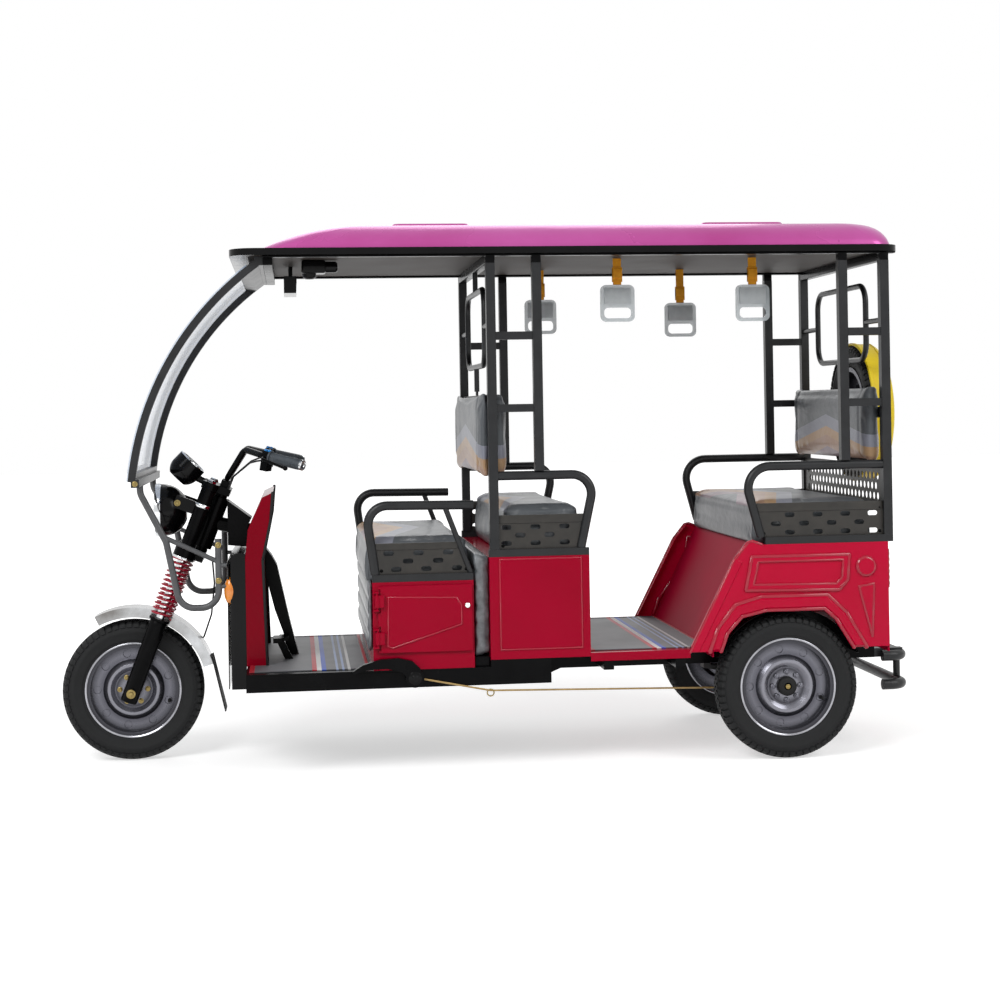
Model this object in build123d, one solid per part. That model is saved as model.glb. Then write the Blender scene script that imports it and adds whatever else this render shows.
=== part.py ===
from build123d import *
import math
import os

# Electric tricycle. Millimetres, +Z up, front towards -X, left side towards -Y.
# Stations along X are measured back from the front axle; save() moves them to the middle of the length.

# Wheels
TYRE_R = 240.0
TYRE_HALF = 46.0
BEAD_R = 148.0
FLANGE_R = 161.0
RIM_HALF = 36.0
RIM_SHEET = 3.0
SEAT_GAP = 0.3
DISC_OUT = 8.0
DISC_SHEET = 5.0
DISC_RING_R = 84.0
DISC_RING_RISE = 14.0
CENTRE_R = 64.0
CENTRE_RISE = 6.0
HUB_BORE_R = 30.0
DIMPLE_COUNT = 9
DIMPLE_R = 13.0
DIMPLE_DEPTH = 3.0
DIMPLE_CIRCLE = 124.0
BOSS_COUNT = 8
BOSS_R = 8.0
BOSS_RISE = 6.0
DRUM_R = 92.0
DRUM_DEPTH = 52.0
CAP_RISE = 26.0
TRACK = 846.0
STUB_R = 15.0
RUN_FIT = 0.05
AXLE_GAP = 6.0

# Steering, measured along the fork leg from the front axle
RAKE = 21.5
STEER_OFFSET = 45.0
LEG_Y = 91.0
SLIDER_R = 23.0
SLIDER_LOW = -30.0
SLIDER_TOP = 268.0
STANCHION_R = 14.0
CROWN_LOW = 492.0
CROWN_THICK = 32.0
CLAMP_LOW = 735.0
CLAMP_THICK = 25.0
COVER_R = 25.0
STEM_R = 21.0
HEAD_R = 32.0
HEAD_GAP = 14.0
SPRING_R = 31.0
SPRING_WIRE = 4.2
SPRING_TURNS = 9
SPRING_SEAT_R = 36.0
FRONT_AXLE_R = 9.0
BAR_R = 11.0
BAR_RISE = 22.0
GRIP_R = 17.0
GRIP_LENGTH = 120.0
PERCH_LENGTH = 26.0
LEVER_R = 5.0
CABLE_R = 3.0
LAMP_R = 90.0
LAMP_DEPTH = 102.0
LAMP_Z = 853.0
LAMP_FRONT = 88.0
LENS_INSET = 8.0
LENS_THICK = 17.0
GAUGE_X = 185.0
GAUGE_Z = 990.0
GAUGE_R = 54.0
GAUGE_DEPTH = 78.0
GAUGE_TILT = 45.0
GUARD_R = 285.0
GUARD_SHEET = 2.0
GUARD_LIP = 34.0
GUARD_FRONT_ANGLE = 116.0
GUARD_REAR_ANGLE = 17.0
FLAP_DROP = 165.0
FLAP_LEAN = 38.0
FLAP_SHEET = 4.0

# Lengths along the vehicle, from the front axle to the rear
FLOOR_FRONT = 396.0
FOOTWELL = 409.0
DRIVER_LENGTH = 329.0
SEAT_STEP = 53.0
MID_LENGTH = 330.0
CABIN_LENGTH = 333.0
SLANT_AHEAD = 335.0
TAIL_LENGTH = 345.0
BUMPER_REACH = 120.0

# Body widths and sheet sizes
SIDE_Y = 467.0
TUBE = 30.0
ARM_R = 15.0
SHEET = 3.0
EMBOSS = 4.0
PRESS_SLOPE = 40.0

# Chassis and seat heights
RAIL_W = 40.0
WHEEL_ROOM = 77.0
RAIL_LOW = 285.0
RAIL_DEEP = 52.0
FLOOR_SHEET = 6.0
KICK_UP = 23.0
REAR_RAIL_DEEP = 42.0
FLOOR_RISE = 28.0
BEAM_W = 30.0
DRIVER_HEIGHT = 285.0
MID_LIFT = 16.0
MID_HEIGHT = 334.0
REAR_HEIGHT = 340.0
SEAT_RAIL = 24.0
FOOT_STEP = 75.0
SLOT_L = 34.0
SLOT_H = 16.0

# Locker door in the driver's box: distances from the box's own edges, and its hinges
DOOR_FRONT = 17.0
DOOR_REAR = 6.0
DOOR_LOW = 57.0
DOOR_TOP = 12.0
DOOR_LAP = 14.0
DOOR_GAP = 5.5
HINGE_OUT = 16.0
PIN_R = 4.0
SLEEVE_R = 8.0
SLEEVE_HALF = 20.0
HINGE_INSET = 48.0

# Canopy
ROOF_RAIL_LOW = 1660.0
ROOF_OVERHANG = 13.0
ROOF_FRONT = 362.0
ROOF_BEHIND = 62.0
ROOF_LIP = 60.0
TRIM_W = 12.0
TRIM_H = 22.0
LINING = 4.0
SHELL = 4.0
ROOF_RISE = 104.0
RIB_RISE = 12.0
RIB_HALF = 330.0
SCREEN_HALF = 450.0
SCREEN_BAND = 24.0
GLASS = 5.0
HOOP_Y = 275.0
HOOP_R = 11.0
RING_HALF = 280.0
RING_HEIGHT = 278.0
RING_DROP = 60.0
RING_R = 10.0
RUNG_DROP = 238.0
RUNG_STEP = 237.0
RUNG_HALF = 13.0
HANDLE_W = 118.0
HANDLE_H = 126.0
HANDLE_BAR = 12.0
HANDLE_GRIP = 36.0
HANDLE_HALF = 5.0

# Spare wheel and bumper
SPARE_HALF = 42.0
SPARE_RISE = 432.0
COVER_SHEET = 4.0
BUMPER_R = 18.0
BUMPER_HALF = 335.0

BODY_HALF = SIDE_Y + TUBE / 2
ROOF_HALF = BODY_HALF + ROOF_OVERHANG
RAIL_Y = TRACK / 2 - TYRE_HALF - WHEEL_ROOM
DRIVER_X0 = FLOOR_FRONT + FOOTWELL
DRIVER_X1 = DRIVER_X0 + DRIVER_LENGTH
MID_X0 = DRIVER_X1 + SEAT_STEP
MID_X1 = MID_X0 + MID_LENGTH
SLANT_FOOT = MID_X1 + CABIN_LENGTH
SEAT_FOOT = SLANT_FOOT + FOOT_STEP
REAR_AXLE_X = SLANT_FOOT + SLANT_AHEAD
REAR_X1 = REAR_AXLE_X + TAIL_LENGTH
REAR_END = REAR_X1 + BUMPER_REACH
MID_POST_X = MID_X0 + 19
MID_BAR_X = MID_X0 + 171
REAR_POST_X = REAR_X1 + 3
REAR_BAR_X = REAR_X1 - 140
FRONT_FLOOR_Z = RAIL_LOW + RAIL_DEEP + FLOOR_SHEET
REAR_RAIL_LOW = RAIL_LOW + KICK_UP
REAR_RAIL_TOP = REAR_RAIL_LOW + REAR_RAIL_DEEP
REAR_FLOOR_Z = REAR_RAIL_TOP + FLOOR_RISE
DRIVER_TOP = FRONT_FLOOR_Z + DRIVER_HEIGHT
MID_LOW = REAR_RAIL_TOP + MID_LIFT
MID_TOP = MID_LOW + MID_HEIGHT
REAR_TOP = REAR_FLOOR_Z + REAR_HEIGHT
LINING_Z = ROOF_RAIL_LOW + TUBE
SHOULDER_Z = LINING_Z + ROOF_RISE
ROOF_REAR = REAR_X1 + ROOF_BEHIND
CENTRE_X = (REAR_END - TYRE_R) / 2
SIDES = (-1, 1)


def block(x0, x1, y0, y1, z0, z1):
    middle = Pos((x0 + x1) / 2, (y0 + y1) / 2, (z0 + z1) / 2)
    return middle * Box(x1 - x0, y1 - y0, z1 - z0)


def outline(points):
    return make_face(Polyline(*points, close=True))


def prism(face, y0, y1):
    return Pos(0, y0, 0) * extrude(Plane.XZ * face, amount=-(y1 - y0))


def panel(points, y0, y1):
    return prism(outline(points), y0, y1)


def pressed(face, y, rise):
    # A raised form on the side sheet at +Y, with sloped edges as a press leaves them.
    return Pos(0, y, 0) * extrude(Plane.XZ * face, amount=-rise, taper=PRESS_SLOPE)


def tube(points, radius, bend=0):
    path = FilletPolyline(*points, radius=bend) if bend else Polyline(*points)
    section = Plane(origin=path @ 0, z_dir=path % 0) * Circle(radius)
    return sweep(section, path=path)


def rod(start, end, radius):
    return tube([start, end], radius)


def pair(shape):
    return [shape, mirror(shape, about=Plane.XZ)]


def turned(face):
    # A face drawn with x along the axle and y along the radius, spun about the wheel's axle (Y).
    return Rot(0, 0, 90) * revolve(face, axis=Axis.X)


def upright(x, y, z0, z1, radius):
    return Pos(x, y, (z0 + z1) / 2) * Cylinder(radius, z1 - z0)


def save(node, shapes):
    shapes = shapes if isinstance(shapes, list) else [shapes]
    solids = [solid for shape in shapes for solid in shape.solids()]
    export_step(Pos(-CENTRE_X, 0, 0) * Compound(solids), f"parts/{node}.step")


os.makedirs("parts", exist_ok=True)

# Wheels, each made about the origin with its outer face towards +Y
CENTRE_OUT = DISC_OUT + CENTRE_RISE
HUB_FACE = CENTRE_OUT - DISC_SHEET
HUB_BACK = HUB_FACE - DRUM_DEPTH


def make_tyre(half=TYRE_HALF):
    bead = RIM_HALF - RIM_SHEET - SEAT_GAP
    low = BEAD_R + SEAT_GAP
    lip = FLANGE_R + 2
    shoulder = (half - 4, TYRE_R - 11)
    right = [Line((0, low), (bead, low)), Line((bead, low), (bead, lip))]
    right.append(Line((bead, lip), (RIM_HALF, lip + 2)))
    right.append(ThreePointArc((RIM_HALF, lip + 2), (half, (lip + TYRE_R) / 2), shoulder))
    right.append(ThreePointArc(shoulder, (half * 0.55, TYRE_R - 3), (0, TYRE_R)))
    left = [mirror(edge, about=Plane.YZ) for edge in right]
    return turned(make_face(right + left))


def make_rim():
    inner = BEAD_R - RIM_SHEET
    barrel = outline([
        (-RIM_HALF, inner), (RIM_HALF, inner), (RIM_HALF, FLANGE_R), (RIM_HALF - RIM_SHEET, FLANGE_R),
        (RIM_HALF - RIM_SHEET, BEAD_R), (RIM_SHEET - RIM_HALF, BEAD_R), (RIM_SHEET - RIM_HALF, FLANGE_R),
        (-RIM_HALF, FLANGE_R),
    ])
    top = DISC_OUT + DISC_RING_RISE
    face = [
        (DISC_OUT, inner + 1), (DISC_OUT, DISC_RING_R + 20), (top, DISC_RING_R + 4), (top, DISC_RING_R - 6),
        (CENTRE_OUT, CENTRE_R), (CENTRE_OUT, HUB_BORE_R),
    ]
    disc = outline(face + [(a - DISC_SHEET, r) for a, r in reversed(face)])
    dimples = [
        Rot(0, 360 * i / DIMPLE_COUNT, 0) * Pos(DIMPLE_CIRCLE, DISC_OUT, 0) * Rot(90, 0, 0)
        * Cylinder(DIMPLE_R, 2 * DIMPLE_DEPTH)
        for i in range(DIMPLE_COUNT)
    ]
    return turned(barrel) + turned(disc) - dimples


def make_hub(shaft_r):
    bore = shaft_r + RUN_FIT
    cap_top = HUB_FACE + CAP_RISE
    end = cap_top - 8
    hub = turned(outline([
        (HUB_BACK, bore), (HUB_BACK, DRUM_R), (HUB_FACE - 14, DRUM_R), (HUB_FACE - 14, CENTRE_R - 4),
        (HUB_FACE, CENTRE_R - 4), (HUB_FACE, HUB_BORE_R), (cap_top - 6, HUB_BORE_R),
        (cap_top, HUB_BORE_R - 8), (cap_top, 0), (end, 0), (end, bore),
    ]))
    circle = (HUB_BORE_R + CENTRE_R) / 2
    middle = CENTRE_OUT + BOSS_RISE / 2 - 1
    bosses = [
        Rot(0, 360 * i / BOSS_COUNT, 0) * Pos(circle, middle, 0) * Rot(90, 0, 0)
        * Cylinder(BOSS_R, BOSS_RISE + 2)
        for i in range(BOSS_COUNT)
    ]
    return hub + bosses


def make_front_hub():
    bore = FRONT_AXLE_R + RUN_FIT
    end = LEG_Y - SLIDER_R - AXLE_GAP
    return turned(outline([
        (HUB_BACK, bore), (HUB_BACK, DRUM_R), (HUB_FACE - 14, DRUM_R), (HUB_FACE - 14, CENTRE_R - 4),
        (HUB_FACE, CENTRE_R - 4), (HUB_FACE, HUB_BORE_R), (end, HUB_BORE_R), (end, bore),
    ]))


front_spot = Pos(0, 0, TYRE_R) * Rot(0, 0, 180)
save("front_tyre", front_spot * make_tyre())
save("front_rim", front_spot * (make_rim() + make_front_hub()))
for side, name in ((-1, "left"), (1, "right")):
    turn = Rot(0, 0, 180) if side < 0 else Rot(0, 0, 0)
    spot = Pos(REAR_AXLE_X, side * TRACK / 2, TYRE_R) * turn
    save(f"rear_{name}_tyre", spot * make_tyre())
    save(f"rear_{name}_rim", spot * (make_rim() + make_hub(STUB_R)))

# Steering: local z runs up the fork leg, local x points back, the origin is the front axle
fork = Pos(0, 0, TYRE_R) * Rot(0, RAKE, 0)
rake = math.radians(RAKE)
crown_top = CROWN_LOW + CROWN_THICK
clamp_top = CLAMP_LOW + CLAMP_THICK
riser_top = clamp_top + BAR_RISE
clamp_back = STEER_OFFSET + STEM_R + 6


def steer_point(x, z):
    # World X and Z of a point given in the fork's own frame.
    return (x * math.cos(rake) + z * math.sin(rake), TYRE_R - x * math.sin(rake) + z * math.cos(rake))


# Brake arm on the right leg: its reach behind the leg, and its heights
ARM_REACH = 112.0
ARM_LOW = 78.0
ARM_TOP = 100.0
arm_y = LEG_Y - 10
axle_end = LEG_Y + SLIDER_R + 12
legs = Rot(90, 0, 0) * Cylinder(FRONT_AXLE_R, 2 * axle_end)
legs += block(0, ARM_REACH, arm_y - 5, arm_y + 5, ARM_LOW, ARM_TOP)
for side in SIDES:
    legs += Pos(0, side * (axle_end - 6), 0) * Rot(90, 0, 0) * Cylinder(FRONT_AXLE_R + 6, 12)
    legs += upright(0, side * LEG_Y, SLIDER_LOW, SLIDER_TOP, SLIDER_R)
    legs += upright(0, side * LEG_Y, SLIDER_TOP - 8, SLIDER_TOP, SPRING_SEAT_R)
    legs += upright(0, side * LEG_Y, SLIDER_TOP, CROWN_LOW, STANCHION_R)
save("fork_legs", fork * legs)

coil_low = SLIDER_TOP + SPRING_WIRE + SEAT_GAP
coil_height = CROWN_LOW - SPRING_WIRE - SEAT_GAP - coil_low
coil = Helix(pitch=coil_height / SPRING_TURNS, height=coil_height, radius=SPRING_R - SPRING_WIRE)
wire = sweep(Plane(origin=coil @ 0, z_dir=coil % 0) * Circle(SPRING_WIRE), path=coil, is_frenet=True)
save("fork_springs", [fork * Pos(0, side * LEG_Y, coil_low) * wire for side in SIDES])

crown = upright(STEER_OFFSET, 0, CROWN_LOW, CLAMP_LOW, STEM_R)
crown += block(-COVER_R, STEER_OFFSET + STEM_R, -LEG_Y, LEG_Y, CROWN_LOW, crown_top)
clamp = crown + block(-COVER_R, clamp_back, -LEG_Y, LEG_Y, CLAMP_LOW, clamp_top)
for side in SIDES:
    clamp += upright(0, side * LEG_Y, CROWN_LOW, crown_top, COVER_R + 12)
    clamp += upright(0, side * LEG_Y, CROWN_LOW, CLAMP_LOW, COVER_R)
    clamp += upright(0, side * LEG_Y, CLAMP_LOW, clamp_top, COVER_R + 4)
    clamp += block(STEER_OFFSET - 16, STEER_OFFSET + 16, side * 45 - 14, side * 45 + 14, clamp_top, riser_top)
save("fork_yokes", fork * clamp)

# Handlebar: offsets of its bends from the middle of the bar, which lies on the risers
BAR_BENDS = ((0, 62, 0), (62, 122, 98), (122, 236, 80), (248, 322, 48))
BAR_BEND_R = 38.0
bar_x, bar_z = steer_point(STEER_OFFSET, riser_top + BAR_R)
bar_half = [(bar_x + x, y, bar_z + z) for x, y, z in BAR_BENDS]
bar = tube([(x, -y, z) for x, y, z in reversed(bar_half)] + bar_half, BAR_R, BAR_BEND_R)
tip = Vector(*bar_half[3])
along = (tip - Vector(*bar_half[2])).normalized()
root = tip - along * GRIP_LENGTH
rise = (Vector(0, 0, 1) - along * along.Z).normalized()
hand = Plane(origin=root, x_dir=along, z_dir=rise)
perch_x = -1 - PERCH_LENGTH
perch = Pos(perch_x + PERCH_LENGTH / 2, 0, 0) * Rot(0, 90, 0) * Cylinder(GRIP_R + 2, PERCH_LENGTH)
perch += block(perch_x, -1, -GRIP_R, GRIP_R - 2, -48, 0)
lever_in = perch_x + PERCH_LENGTH / 2
lever_end = (GRIP_LENGTH - 20, 54, -14)
perch += tube([(lever_in, 8, 0), (lever_in + 8, 46, -4), lever_end], LEVER_R, 18)
perch += Pos(*lever_end) * Sphere(LEVER_R + 3)
bars = bar + pair(hand * perch)
save("handlebar", bars)
sleeve = rod(root, tip, GRIP_R) - rod(root - along * 20, tip + along, BAR_R)
sleeve += rod(tip, tip + along * 6, GRIP_R)
save("handlebar_grips", pair(sleeve))

# Control cables: from the perches to the top clamp, and from the crown to the brake arm
start = root + along * perch_x - rise * (GRIP_R - 2)
end_x, end_z = steer_point(clamp_back - 12, clamp_top)
top_x, top_z = steer_point(clamp_back - 12, clamp_top + 40)
hand_cable = tube([
    tuple(start), (bar_x + 104, 196, bar_z + 60), (bar_x + 78, 118, bar_z + 52), (top_x, LEG_Y - 7, top_z),
    (end_x, LEG_Y - 7, end_z),
], CABLE_R, 16)
crown_x, crown_z = steer_point(STEER_OFFSET + STEM_R, crown_top - CROWN_THICK / 2)
out_x, out_z = steer_point(STEER_OFFSET + STEM_R + 24, crown_top - CROWN_THICK / 2)
arm_x, arm_z = steer_point(ARM_REACH - 10, ARM_TOP)
over_x, over_z = steer_point(ARM_REACH - 10, ARM_TOP + 50)
brake_cable = tube([
    (crown_x, arm_y - 10, crown_z), (out_x, arm_y - 10, out_z), (out_x + 6, arm_y - 6, out_z - 90),
    (out_x - 6, arm_y, out_z - 200), (out_x - 34, arm_y, out_z - 280), (over_x, arm_y, over_z),
    (arm_x, arm_y, arm_z),
], CABLE_R, 18)
save("front_brake_cable", pair(hand_cable - bars) + [brake_cable])

lamp_x1 = LAMP_FRONT + LAMP_DEPTH
neck_r = LAMP_R * 0.36
lamp_bowl = make_face([
    Line((LAMP_FRONT, 0), (LAMP_FRONT, LAMP_R)), Line((LAMP_FRONT, LAMP_R), (LAMP_FRONT + 24, LAMP_R)),
    ThreePointArc((LAMP_FRONT + 24, LAMP_R), (lamp_x1 - 22, LAMP_R * 0.74), (lamp_x1, neck_r)),
    Line((lamp_x1, neck_r), (lamp_x1, 0)), Line((lamp_x1, 0), (LAMP_FRONT, 0)),
])
lens_r = LAMP_R - LENS_INSET
lens_seat = Pos(LAMP_FRONT, 0, LAMP_Z) * Rot(0, 90, 0) * Cylinder(lens_r, 2 * (LENS_THICK - 5))
lamp = Pos(0, 0, LAMP_Z) * revolve(lamp_bowl, axis=Axis.X) - lens_seat
lens_front = LAMP_FRONT - 5
lens_face = make_face([
    ThreePointArc((lens_front - 9, 0), (lens_front - 7, lens_r * 0.5), (lens_front, lens_r)),
    Line((lens_front, lens_r), (lens_front + LENS_THICK, lens_r)),
    Line((lens_front + LENS_THICK, lens_r), (lens_front + LENS_THICK, 0)),
    Line((lens_front + LENS_THICK, 0), (lens_front - 9, 0)),
])
save("headlamp_lens", Pos(0, 0, LAMP_Z) * revolve(lens_face, axis=Axis.X))
arm_u = (LAMP_Z - TYRE_R) / math.cos(rake)
ears = [
    block(-COVER_R - 70, -10, side * (LEG_Y - 19) - 5, side * (LEG_Y - 19) + 5, arm_u - 22, arm_u + 22)
    for side in SIDES
]
covers = [upright(0, side * LEG_Y, CROWN_LOW, CLAMP_LOW, COVER_R) for side in SIDES]
save("headlamp", lamp + [fork * (ear - covers) for ear in ears] - lens_seat)

gauge_low = -GAUGE_DEPTH / 2
gauge_top = GAUGE_DEPTH / 2
gauge_face = make_face([
    Line((0, gauge_low), (GAUGE_R * 0.62, gauge_low)),
    ThreePointArc((GAUGE_R * 0.62, gauge_low), (GAUGE_R * 0.9, gauge_low + 18), (GAUGE_R, gauge_low + 44)),
    Line((GAUGE_R, gauge_low + 44), (GAUGE_R, gauge_top)),
    Line((GAUGE_R, gauge_top), (GAUGE_R - 6, gauge_top)),
    Line((GAUGE_R - 6, gauge_top), (GAUGE_R - 6, gauge_top - 8)),
    Line((GAUGE_R - 6, gauge_top - 8), (0, gauge_top - 8)),
    Line((0, gauge_top - 8), (0, gauge_low)),
])
gauge = Pos(GAUGE_X, 0, GAUGE_Z) * Rot(0, GAUGE_TILT, 0) * revolve(Plane.XZ * gauge_face, axis=Axis.Z)
foot_x, foot_z = steer_point(10, CLAMP_LOW + CLAMP_THICK / 2)
stalk = rod((GAUGE_X + 14, 0, GAUGE_Z - 14), (foot_x, 0, foot_z), 12)
save("gauge_pod", gauge + (stalk - fork * block(-COVER_R, clamp_back, -LEG_Y, LEG_Y, CLAMP_LOW, clamp_top)))

guard_half = LEG_Y - SPRING_SEAT_R


def wheel_arc(r_out, r_in, a0, a1, y0, y1):
    ends = [math.radians(a) for a in (a0, (a0 + a1) / 2, a1)]
    out = [(r_out * math.cos(a), TYRE_R + r_out * math.sin(a)) for a in ends]
    low = [(r_in * math.cos(a), TYRE_R + r_in * math.sin(a)) for a in ends]
    edges = [ThreePointArc(*out), Line(out[2], low[2]), ThreePointArc(*reversed(low)), Line(low[0], out[0])]
    return prism(make_face(edges), y0, y1)


guard_span = (GUARD_FRONT_ANGLE, GUARD_REAR_ANGLE)
guard_whole = wheel_arc(GUARD_R, GUARD_R - GUARD_LIP, *guard_span, -guard_half, guard_half)
guard_in = guard_half - GUARD_SHEET
guard_span_in = (GUARD_FRONT_ANGLE + 14, GUARD_REAR_ANGLE - 17)
guard_core = wheel_arc(GUARD_R - GUARD_SHEET, GUARD_R - GUARD_LIP - 5, *guard_span_in, -guard_in, guard_in)
save("front_mudguard", guard_whole - guard_core)
flap_a = math.radians(GUARD_REAR_ANGLE)
flap_x = GUARD_R * math.cos(flap_a)
flap_z = TYRE_R + GUARD_R * math.sin(flap_a)
flap = panel([
    (flap_x - 12, flap_z + 20), (flap_x - 2, flap_z + 26), (flap_x + FLAP_SHEET, flap_z),
    (flap_x + FLAP_LEAN + FLAP_SHEET, flap_z - FLAP_DROP), (flap_x + FLAP_LEAN, flap_z - FLAP_DROP),
    (flap_x, flap_z),
], -guard_half, guard_half)
save("mud_flap", flap - guard_whole)

# Chassis and front end
NECK_REACH = 36.0
neck_end = FLOOR_FRONT + NECK_REACH
head = upright(STEER_OFFSET, 0, crown_top + HEAD_GAP, CLAMP_LOW - HEAD_GAP, HEAD_R)
head -= upright(STEER_OFFSET, 0, CROWN_LOW, CLAMP_LOW, STEM_R + RUN_FIT)
neck_x, neck_z = steer_point(STEER_OFFSET, (crown_top + CLAMP_LOW) / 2)
stem_clear = upright(STEER_OFFSET, 0, CROWN_LOW, CLAMP_LOW, HEAD_R - 6)
neck_bar = ((neck_x, 0, neck_z), (neck_end, 0, neck_z - 40))
neck = rod(*neck_bar, 24) - fork * stem_clear
neck += block(neck_end - 24, neck_end + 16, -20, 20, FRONT_FLOOR_Z, neck_z - 20)
head = fork * head + neck

beam_top = FRONT_FLOOR_Z - FLOOR_SHEET
rail_in = RAIL_Y - RAIL_W / 2
rail_out = RAIL_Y + RAIL_W / 2
kick_x = MID_X1 - 132
members = []
for side in SIDES:
    y0, y1 = sorted((side * rail_in, side * rail_out))
    members.append(panel([
        (FLOOR_FRONT, RAIL_LOW), (kick_x, RAIL_LOW), (kick_x + 55, REAR_RAIL_LOW), (REAR_X1, REAR_RAIL_LOW),
        (REAR_X1, REAR_RAIL_TOP), (MID_X0, REAR_RAIL_TOP), (MID_X0, beam_top), (FLOOR_FRONT, beam_top),
    ], y0, y1))
for x in (FLOOR_FRONT + 14, DRIVER_X0 - 25, DRIVER_X1 - 4):
    members.append(block(x, x + 40, -rail_in, rail_in, RAIL_LOW + 8, beam_top))
for x in (MID_X1 + 23, SLANT_FOOT + 30, REAR_X1 - 80):
    members.append(block(x, x + 40, -rail_in, rail_in, REAR_RAIL_LOW + 4, REAR_RAIL_TOP))
for x in (FLOOR_FRONT + 64, DRIVER_X0 - 15, DRIVER_X1 - 14):
    members += pair(block(x, x + 34, rail_out, BODY_HALF - BEAM_W, RAIL_LOW + 8, beam_top))
for x in (MID_X1 + 43, SLANT_FOOT - 50):
    members += pair(block(x, x + 34, rail_out, BODY_HALF - 4, REAR_RAIL_LOW + 12, REAR_RAIL_TOP))
members += pair(block(FLOOR_FRONT, MID_X0, BODY_HALF - BEAM_W, BODY_HALF, RAIL_LOW, beam_top))
members += pair(block(MID_X0, kick_x, rail_out, BODY_HALF, RAIL_LOW, MID_LOW))
save("chassis_frame", members[0] + members[1:])
save("front_floor", block(FLOOR_FRONT, MID_X0, -BODY_HALF, BODY_HALF, beam_top, FRONT_FLOOR_Z))
floor = block(MID_X1, SEAT_FOOT, -BODY_HALF, BODY_HALF, REAR_RAIL_TOP, REAR_FLOOR_Z)
floor -= block(MID_X1, SEAT_FOOT, SHEET - BODY_HALF, BODY_HALF - SHEET, 0, REAR_FLOOR_Z - SHEET)
floor += block(MID_X1, SEAT_FOOT, -rail_out, rail_out, REAR_RAIL_TOP, REAR_FLOOR_Z - SHEET)
floor -= pair(block(SLANT_FOOT, SEAT_FOOT + 1, BODY_HALF - SHEET, BODY_HALF + 1, 0, REAR_FLOOR_Z + 100))
save("rear_floor", floor)
save("battery_pack", block(MID_X0 + 48, MID_X1 - 47, -rail_out, rail_out, REAR_RAIL_TOP, MID_TOP - 115))

# Apron, leg shield and what stands on the front floor; heights here are above that floor
APRON_DEPTH = 61.0
SHIELD_HALF = 288.0
SHIELD_EDGE = 22.0
shield_x = FLOOR_FRONT - 2
apron_x = shield_x - APRON_DEPTH
apron_in = SHIELD_HALF - SHEET


def on_floor(points):
    return [(shield_x + x, FRONT_FLOOR_Z + z) for x, z in points]


apron_points = [(-APRON_DEPTH, -75), (0, -75), (0, 373), (-22, 379), (-44, 371), (-APRON_DEPTH, 347)]
core_points = [(SHEET - APRON_DEPTH, -143), (1, -143), (1, 363), (-40, 363), (7 - APRON_DEPTH, 343)]
apron = panel(on_floor(apron_points), -SHIELD_HALF, SHIELD_HALF)
apron = fillet([e for e in apron.edges().filter_by(Axis.Z) if e.center().X < apron_x + 1], SHIELD_EDGE)
save("front_apron", apron - panel(on_floor(core_points), -apron_in, apron_in))
shield_front = [(0, 357), (10, 453), (58, 559), (94, 575)]
shield_back = [(86, 483), (58, 351), (68, 0)]
shield = panel(on_floor([(0, 0)] + shield_front + shield_back), -SHIELD_HALF, SHIELD_HALF)
shield_core = [(SHEET, -143)] + [(x + SHEET, z - SHEET) for x, z in shield_front] + [(166, 575), (166, -143)]
shield -= panel(on_floor(shield_core), SHEET - SHIELD_HALF, SHIELD_HALF - SHEET)
shield -= rod(*neck_bar, 25)
save("leg_shield", shield)
COLUMN_HALF = 58.0
column_box = on_floor([(-64, 387), (-0.5, 381), (5, 453), (18, 479), (-64, 541)])
save("head_tube", head + (panel(column_box, -COLUMN_HALF, COLUMN_HALF) - shield))
brace = panel(on_floor([
    (62, 376), (84, 347), (102, 313), (143, 121), (172, 0), (136, 0), (119, 81), (92, 158), (62, 280),
]), -40, 40)
pedal = panel(on_floor([(126, 0), (154, 0), (126, 57), (106, 75), (96, 67)]), -150, -132)
pedal_x = shield_x + 86
pedal_z = FRONT_FLOOR_Z + 61
pedal += block(pedal_x, pedal_x + 32, -185, -97, pedal_z, pedal_z + 16)
pedal += block(pedal_x + 20, pedal_x + 52, -133, -39, pedal_z, pedal_z + 12)
save("knee_brace", brace + pedal)
LAMP_SPREAD = 250.0
lens_face = Pos(LAMP_SPREAD, FRONT_FLOOR_Z + 254) * SlotOverall(100, 36, rotation=90)
indicator = Pos(apron_x, 0, 0) * extrude(Plane.YZ * lens_face, amount=-14, taper=18)
save("indicator_lamps", pair(indicator))

# Windscreen: one arc in side view, its bulge measured from the chord
SCREEN_FOOT_X = 42.0
SCREEN_FOOT_Z = 968.0
SCREEN_HEAD_X = ROOF_FRONT + 90
SCREEN_BULGE = 86.0
screen_low = (SCREEN_FOOT_X, SCREEN_FOOT_Z)
screen_top = (SCREEN_HEAD_X, ROOF_RAIL_LOW + 8)
chord = math.dist(screen_low, screen_top)
lean = ((screen_top[0] - screen_low[0]) / chord, (screen_top[1] - screen_low[1]) / chord)
screen_r = (chord ** 2 / 4 + SCREEN_BULGE ** 2) / (2 * SCREEN_BULGE)
screen_x = (screen_low[0] + screen_top[0]) / 2 + lean[1] * (screen_r - SCREEN_BULGE)
screen_z = (screen_low[1] + screen_top[1]) / 2 - lean[0] * (screen_r - SCREEN_BULGE)


def screen_band(r_in, r_out, y0, y1):
    ends = [math.atan2(p[1] - screen_z, p[0] - screen_x) for p in (screen_low, screen_top)]
    angles = (ends[0], (ends[0] + ends[1]) / 2, ends[1])
    ring = [[(screen_x + r * math.cos(a), screen_z + r * math.sin(a)) for a in angles] for r in (r_in, r_out)]
    edges = [ThreePointArc(*ring[0]), Line(ring[0][2], ring[1][2]), ThreePointArc(*reversed(ring[1]))]
    return prism(make_face(edges + [Line(ring[1][0], ring[0][0])]), y0, y1)


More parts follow.
